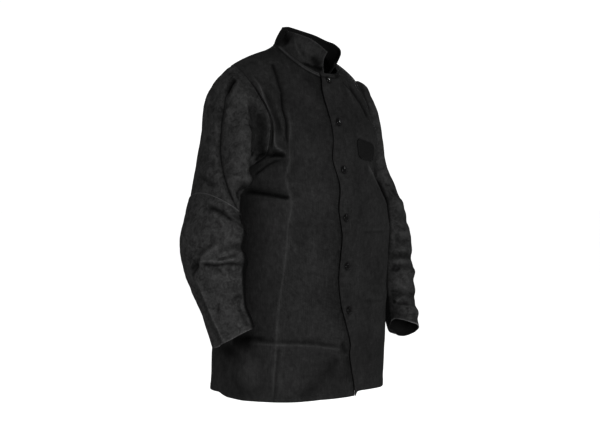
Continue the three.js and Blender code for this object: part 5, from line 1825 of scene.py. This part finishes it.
@dataclass
class LeatherSleeve:
    """One sleeve in two lengths of split leather, lapped and double-stitched above the elbow.

    Attributes:
        form: The jacket's smooth form.
        wardrobe: The finishes.
        sewing: The stitching of the leather pieces.
        side: Which arm.
        folds: Its folds.
        wall: The leather's thickness, in millimetres.
        pitch: The grid's spacing down the arm.
        columns: The grid's number of lines round the arm.
        shade: Ring numbers, and where round the arm the painted shade on the inner side starts there.
        seam: The lapped seam's middle ring, how far it climbs, and where round the arm it is highest.
        cuff: Places round the arm, and how much longer the cuff is there than the form, in millimetres.
        seam_wear, cuff_wear: How pale the seam's edge is from wearing, and the cuff's edge from
        wearing and painted highlight, from 0 to 1.
        lap: How far the forearm piece laps over the upper one, in rings.
        lap_rise: How far it stands out there, in millimetres.
        hem, hem_row: The depth of the turned cuff, and from its inner edge to its row of stitching.
        seam_rows, armhole_row: From the lapped edge to its two rows, and from the armhole to its row.
        taut: The share of the folds left at the lapped seam.
        sooted: How dark the shade painted on the inner side and the armhole's hidden part is, from 0 to 1.
    """

    form: JacketForm
    wardrobe: Wardrobe
    sewing: Stitching
    side: Side
    folds: Sequence[Fold]
    wall: float = 2.0
    pitch: float = 2.6
    columns: int = 190
    shade: Line = RIGHT_SLEEVE_SHADE
    seam: tuple[float, float, float] = (6.64, 0.58, 0.965)
    seam_wear: float = 0.5
    cuff: Line = RIGHT_CUFF
    cuff_wear: float = 0.3
    lap: float = 0.12
    lap_rise: float = 2.5
    hem: float = 16.0
    hem_row: float = 3.0
    seam_rows: tuple[float, float] = (2.5, 8.5)
    armhole_row: float = 4.0
    taut: float = 0.75
    sooted: float = 0.9

    def _length(self, name: str, start: Callable[[Array], Array], end: Callable[[Array], Array]) -> Sheet:
        """One length of the sleeve between two lines round the arm."""
        columns = np.arange(self.columns) / self.columns
        low, high = start(0.0), end(0.0)
        shares = even_stations(
            lambda t: self.form.sleeve(self.side, np.zeros_like(t), low + (high - low) * t), 0, 1, self.pitch,
        )[:, None]
        first, last = start(columns)[None], end(columns)[None]
        down = first + (last - first) * shares
        return Sheet(
            name, lambda q, u: self.form.sleeve(self.side, q, u), columns[None], down, self.side.value, True,
        )

    def _seam(self, q: Array) -> Array:
        """The ring number of the lapped seam at places round the arm."""
        ring, climb, highest = self.seam
        return ring - climb * np.cos(2 * math.pi * (np.asarray(q, float) - highest))

    def _slant(self, sheet: Sheet) -> None:
        """Moves the cuff's edge along the arm, so that it ends at a slant."""
        line = smooth_run(self.cuff)
        q, end = sheet.across, np.full(sheet.across.shape, float(CUFF))
        along = unit(self.form.sleeve(self.side, q, end) - self.form.sleeve(self.side, q, end - 0.5))
        amount = np.interp(q, line[:, 0], line[:, 1]) * smoothstep(sheet.down, CUFF_SLANT_FROM, CUFF)
        sheet.points = sheet.points + along * amount[..., None]
        sheet.refresh()

    def _shape(self, sheet: Sheet, free: Array) -> None:
        """Adds the folds, the unevenness and the painted shade on the inner side."""
        # The inner side, facing the body, is painted with shade.
        start = np.interp(sheet.down, *zip(*self.shade))
        inner = smoothstep(sheet.across - start, 0, 0.035) * (1 - smoothstep(sheet.across, 0.62, 0.72))
        sheet.darken(self.sooted * inner)
        sheet.fold(self.folds, free)
        loose = 0.7 + 0.6 * smoothstep(sheet.down, 4, 8)
        sheet.crumple(SLEEVE_CRUMPLE, SLEEVE_SEED[self.side], free * loose)

    def _loosened(self, sheet: Sheet, seam: Edge) -> Array:
        """How free the folds are near the lapped seam, from taut to 1."""
        return self.taut + (1 - self.taut) * smoothstep(sheet.margin(seam), 4, 40)

    def _upper(self) -> Sheet:
        """The length from the armhole to under the lapped seam."""
        name = f"{self.side.name.lower()}_upper_arm"
        sheet = self._length(
            name, lambda q: np.zeros_like(np.asarray(q, float)), lambda q: self._seam(q) + 2 * self.lap,
        )
        top = sheet.margin(Edge.TOP)
        self._shape(sheet, smoothstep(top, 1, 10) * self._loosened(sheet, Edge.BOTTOM))
        # The armhole's hidden part is painted with shade.
        sheet.darken(self.sooted * window(sheet.across, *ARMHOLE_SHADE_ROUND[self.side]) * bell(top, 0, 8.0))
        sheet.press(Edge.TOP, self.armhole_row, 0.7, 2.0)
        sheet.refresh()
        self.sewing.sew(*sheet.inset_path(Edge.TOP, self.armhole_row), closed=True)
        sheet.tuck(Edge.TOP, back=0.15, down=0.15 + 0.35 * smoothstep(sheet.across[0], 0.2, 0.32))
        return sheet

    def _lower(self) -> Sheet:
        """The length from the lapped seam to the cuff."""
        name = f"{self.side.name.lower()}_lower_arm"
        sheet = self._length(name, self._seam, lambda q: np.full_like(np.asarray(q, float), CUFF))
        top, bottom = sheet.margin(Edge.TOP), sheet.margin(Edge.BOTTOM)
        self._shape(sheet, self._loosened(sheet, Edge.TOP))
        self._slant(sheet)
        sheet.rise(self.lap_rise * (1 - smoothstep(top, 11, 30)))
        for inset in self.seam_rows:
            sheet.press(Edge.TOP, inset, 0.6, 1.6)
        sheet.band(Edge.BOTTOM, self.hem, 1.0)
        sheet.press(Edge.BOTTOM, self.hem - self.hem_row, 0.7, 1.8)
        sheet.wear(self.seam_wear * bell(top, 0, 1.5))
        # The cuff's edge is paler: wearing and painted highlight.
        sheet.wear(self.cuff_wear * bell(bottom, 0, 1.8))
        sheet.refresh()
        rows = [(Edge.TOP, inset) for inset in self.seam_rows]
        for edge, inset in (*rows, (Edge.BOTTOM, self.hem - self.hem_row)):
            self.sewing.sew(*sheet.inset_path(edge, inset), closed=True)
        return sheet

    def build(self) -> None:
        """Builds both lengths and puts them on the jacket."""
        word = self.side.name.lower()
        for sheet, node, flat in (
            (self._upper(), f"{word}_upper_sleeve", (0.56, 0.42)),
            (self._lower(), f"{word}_forearm", (0.46, 0.32)),
        ):
            obj = sheet.to_object(self.wall, self.wardrobe.leather, self.wardrobe.lining)
            settle(obj, Slot.LEATHER, node)
            min(sheet.area(), flat[0] * flat[1])


BEVEL_WIDTH, BEVEL_OVER, SMOOTH_UNDER = 0.12, 40, 50


def turned_piece(name: str, profile: Line, sides: int) -> Object:
    """Models a round piece about Z by extruding and resizing a disc, step by step.

    Args:
        name: The piece's name.
        profile: Radius and height of each step, in millimetres, from the lowest to the highest.
        sides: Facets round it.

    Returns:
        The new object, closed at both ends.
    """
    bpy.ops.object.select_all(action="DESELECT")
    radius, height = profile[0]
    bpy.ops.mesh.primitive_circle_add(vertices=sides, radius=radius * MM, fill_type="NGON")
    obj = bpy.context.object
    obj.name = obj.data.name = name
    bpy.ops.object.mode_set(mode="EDIT")
    bpy.ops.mesh.select_all(action="SELECT")
    bpy.ops.transform.translate(value=(0, 0, height * MM))
    for next_radius, next_height in profile[1:]:
        share, rise = next_radius / radius, (0, 0, (next_height - height) * MM)
        bpy.ops.mesh.extrude_region_move(TRANSFORM_OT_translate={"value": rise})
        bpy.ops.transform.resize(value=(share, share, 1), center_override=(0, 0, next_height * MM))
        radius, height = next_radius, next_height
    bpy.ops.mesh.select_all(action="SELECT")
    bpy.ops.mesh.normals_make_consistent(inside=False)
    bpy.ops.object.mode_set(mode="OBJECT")
    bevel = obj.modifiers.new("edges", "BEVEL")
    bevel.width = BEVEL_WIDTH * MM
    bevel.segments = 2
    bevel.limit_method = "ANGLE"
    bevel.angle_limit = math.radians(BEVEL_OVER)
    bpy.ops.object.modifier_apply(modifier=bevel.name)
    bpy.ops.object.shade_smooth_by_angle(angle=math.radians(SMOOTH_UNDER))
    return obj


@dataclass
class SnapFront:
    """The six snaps: domed caps with their sockets on the left front, studs on the right.

    Attributes:
        form: The jacket's smooth form.
        wardrobe: The finishes.
        fronts: The finished fronts by name.
        cap: Radius of a cap, in millimetres.
        dome: Height of a cap.
        wall: The cloth's thickness.
        gap: Between a fitting and the cloth.
    """

    form: JacketForm
    wardrobe: Wardrobe
    fronts: dict[str, Sheet]
    cap: float = 7.5
    dome: float = 3.0
    wall: float = 1.5
    gap: float = 0.3

    def _seats(self, name: str) -> list[Matrix]:
        """Where the fittings sit on a front: their places and directions."""
        v = np.array(SNAP_SECTIONS)
        x = SNAP_X - self.form.section["sway"](v)
        across = self.form.start_across(x if name == "left_front" else -x, v)
        points, normals = self.fronts[name].sample(across, v)
        seats = []
        for point, normal in zip(points, normals):
            turn = Vector(normal).to_track_quat("Z", "Y").to_matrix().to_4x4()
            seats.append(Matrix.Translation(Vector(point * MM)) @ turn)
        return seats

    def _cap_profile(self) -> Line:
        """The cap, post and socket, from the inside out."""
        under, foot = -self.wall - self.gap, self.gap
        r, d = self.cap, self.dome
        return [
            (4.4, under - 1.1), (5.0, under - 0.9), (5.0, under), (2.0, under), (2.0, foot), (r * 0.97, foot),
            (r, foot + 0.25), (r, foot + 0.6), (r * 0.955, foot + d * 0.42), (r * 0.87, foot + d * 0.62),
            (r * 0.74, foot + d * 0.79), (r * 0.58, foot + d * 0.90), (r * 0.40, foot + d * 0.965),
            (r * 0.20, foot + d * 0.995), (r * 0.03, foot + d),
        ]

    def _stud_profile(self) -> Line:
        """The backing, post and head, from the inside out."""
        under, foot = -self.wall - self.gap, self.gap
        return [
            (4.5, under - 1.0), (5.0, under - 0.8), (5.0, under), (2.0, under), (2.0, foot), (3.4, foot),
            (3.6, foot + 0.5), (3.0, foot + 1.0), (0.6, foot + 1.1),
        ]

    def build(self) -> None:
        """Models one cap and one stud and sets a copy of each at every seat."""
        for word, head, front, profile, sides in (
            ("snap", "cap", "left_front", self._cap_profile(), 40),
            ("stud", "post", "right_front", self._stud_profile(), 24),
        ):
            master = turned_piece(f"{word}_master", profile, sides)
            master.data.materials.append(self.wardrobe.enamel)
            for number, seat in enumerate(self._seats(front), 1):
                mesh = master.data.copy()
                mesh.transform(seat)
                settle(add_object(f"{word}_{head}_{number}", mesh), Slot.SNAP, f"{word}_{number}")
            bpy.data.objects.remove(master, do_unlink=True)


@dataclass
class ChestPatch:
    """The blank patch on the left chest, with a raised border.

    Attributes:
        wardrobe: The finishes.
        front: The finished left front.
        wall: Thickness, in millimetres.
        gap: Between the patch and the cloth.
        rounding: Share of the half-width that the rounded corners take.
        border, raised: Width of the raised border, and how far it stands out.
        rolled: How far its outer edge rolls back.
        size, pitch: About how wide the patch is, and the grid's spacing.
        corners: Its corners' places on the front.
    """

    wardrobe: Wardrobe
    front: Sheet
    wall: float = 1.2
    gap: float = 0.5
    rounding: float = 0.16
    border: float = 3.6
    raised: float = 0.7
    rolled: float = 0.5
    size: float = 44.0
    pitch: float = 1.8
    corners: Line = ((0.19, 3.68), (0.47, 4.2), (0.47, 5.1), (0.19, 4.78))

    def _place(self, i: Array, j: Array) -> tuple[Array, Array]:
        """Places on the left front for places on the patch from 0 to 1 each way, with rounded corners."""
        x, y = 2 * i - 1, 2 * j - 1
        corner = np.maximum(0, np.abs(x) + np.abs(y) - (2 - 2 * self.rounding)) / 2
        a = (x - np.sign(x) * corner + 1) / 2
        b = (y - np.sign(y) * corner + 1) / 2
        p, q, r, s = (np.array(c) for c in self.corners)
        mixed = (
            ((1 - a) * (1 - b))[..., None] * p + (a * (1 - b))[..., None] * q
            + (a * b)[..., None] * r + ((1 - a) * b)[..., None] * s
        )
        return mixed[..., 0], mixed[..., 1]

    def _point(self, i: Array, j: Array) -> Array:
        """Points of the patch's outer face."""
        i, j = np.broadcast_arrays(np.asarray(i, float), np.asarray(j, float))
        points, normals = self.front.sample(*self._place(i, j))
        return points + normals * (self.gap + self.wall)

    def build(self) -> None:
        """Builds the patch and puts it on the jacket."""
        places = even_places(self.size, self.pitch, (0.0, 0.5, 1.2))
        sheet = Sheet("patch_blank", self._point, places[None], places[:, None], -1)
        nearest = np.min([sheet.margin(edge) for edge in Edge], axis=0)
        border = 1 - smoothstep(nearest, self.border - 0.8, self.border + 0.8)
        sheet.rise(self.raised * border - self.rolled * (1 - smoothstep(nearest, 0, 0.9)))
        sheet.refresh()
        obj = sheet.to_object(self.wall, self.wardrobe.patch, self.wardrobe.lining)
        settle(obj, Slot.PATCH, "chest_patch")


SENSOR, FLOOR_SIZE = 36.0, 60.0

# Lights: name, bearing from the camera in degrees, height, distance and size in metres, power in watts.

LIGHTS = (
    ("key", 16, -0.2, 2.6, 0.8, 180),
    ("fill", -60, 0.0, 2.6, 1.2, 47),
    ("rear", 180, 0.2, 2.6, 1.6, 60),
    ("upper_glint", 109.3, 1.576, 2.54, 0.28, 20),
    ("lower_glint", 90.0, 0.738, 2.73, 0.28, 20),
)


@dataclass
class Studio:
    """A pale floor far below, soft light all round, and the camera at the photograph's angle.

    Attributes:
        azimuth: Camera's bearing, in degrees; 0 looks along +Y.
        elevation: Its height above the horizon, in degrees.
        distance: From the target, in metres.
        target: The point in the middle of the picture, in metres.
        focal: Focal length over picture width.
        floor: Height of the floor.
        ambient: Strength of the light from all round.
        gamma: The picture's tone curve; below 1 it deepens the darks, as the photograph's does.
    """

    azimuth: float = -43.0
    elevation: float = 2.0
    distance: float = 3.0
    target: tuple[float, float, float] = (0.0, 0.0, -0.37)
    focal: float = 3000 / 2.22 / 600
    floor: float = -1.45
    ambient: float = 1.05
    gamma: float = 0.72

    def _back(self) -> Vector:
        """The direction from the target to the camera."""
        a, e = math.radians(self.azimuth), math.radians(self.elevation)
        return Vector((math.sin(a) * math.cos(e), -math.cos(a) * math.cos(e), math.sin(e)))

    def _light(self, name: str, turn: float, height: float, far: float, size: float, power: float) -> None:
        """A square soft light aimed at the jacket's middle, at a bearing from the camera."""
        bearing = math.radians(self.azimuth + turn)
        data = bpy.data.lights.new(name, "AREA")
        data.shape, data.size, data.energy = "SQUARE", size, power
        lamp = add_object(name, data)
        lamp.location = Vector((math.sin(bearing) * far, -math.cos(bearing) * far, height))
        aim = lamp.location - Vector(self.target)
        lamp.rotation_mode = "QUATERNION"
        lamp.rotation_quaternion = aim.to_track_quat("Z", "Y")

    def build(self) -> None:
        """Sets up the camera, the floor and the light."""
        scene = bpy.context.scene
        camera = add_object("camera", bpy.data.cameras.new("camera"))
        camera.data.sensor_width = SENSOR
        camera.data.lens = SENSOR * self.focal
        camera.location = Vector(self.target) + self._back() * self.distance
        camera.rotation_mode = "QUATERNION"
        camera.rotation_quaternion = self._back().to_track_quat("Z", "Y")
        camera.data.clip_end = 200.0
        scene.camera = camera
        scene.view_settings.view_transform = "Standard"
        scene.view_settings.gamma = self.gamma
        bpy.ops.object.select_all(action="DESELECT")
        bpy.ops.mesh.primitive_plane_add(size=FLOOR_SIZE, location=(0, 0, 0))
        floor = bpy.context.object
        floor.name = "floor"
        for vertex in floor.data.vertices:
            vertex.co.z = self.floor
        tree = NodeTree("pale_floor")
        tree.set(Roughness=0.9, Specular_IOR_Level=0.1)
        tree.shader.inputs["Base Color"].default_value = (0.97, 0.97, 0.97, 1)
        floor.data.materials.append(tree.material)
        world = bpy.data.worlds.new("soft_white")
        scene.world = world
        world.use_nodes = True
        world.node_tree.nodes["Background"].inputs["Color"].default_value = (1, 1, 1, 1)
        world.node_tree.nodes["Background"].inputs["Strength"].default_value = self.ambient
        for light in LIGHTS:
            self._light(*light)


def main() -> None:
    """Builds the jacket on its frame, piece by piece."""
    logging.basicConfig(level=logging.INFO, format="%(name)s %(message)s")
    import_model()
    Studio().build()
    form, wardrobe = JacketForm(), Wardrobe()
    cotton_sewing, leather_sewing = Stitching(), Stitching(pitch=3.8, length=3.0, width=1.0, proud=0.5)
    sheets = CottonBody(form, wardrobe, cotton_sewing).build()
    Collar(form, wardrobe, cotton_sewing).build()
    LeatherSleeve(form, wardrobe, leather_sewing, Side.RIGHT, RIGHT_SLEEVE_FOLDS).build()
    LeatherSleeve(
        form, wardrobe, leather_sewing, Side.LEFT, LEFT_SLEEVE_FOLDS, shade=LEFT_SLEEVE_SHADE,
        seam=LEFT_ELBOW_SEAM, seam_wear=0.1, lap_rise=1.2, cuff=LEFT_CUFF, cuff_wear=0.9,
    ).build()
    SnapFront(form, wardrobe, sheets).build()
    ChestPatch(wardrobe, sheets["left_front"]).build()
    settle(cotton_sewing.to_object("stitching_cotton", wardrobe.thread), Slot.COTTON)
    settle(leather_sewing.to_object("stitching_leather", wardrobe.thread), Slot.LEATHER)


if __name__ == "__main__":
    main()
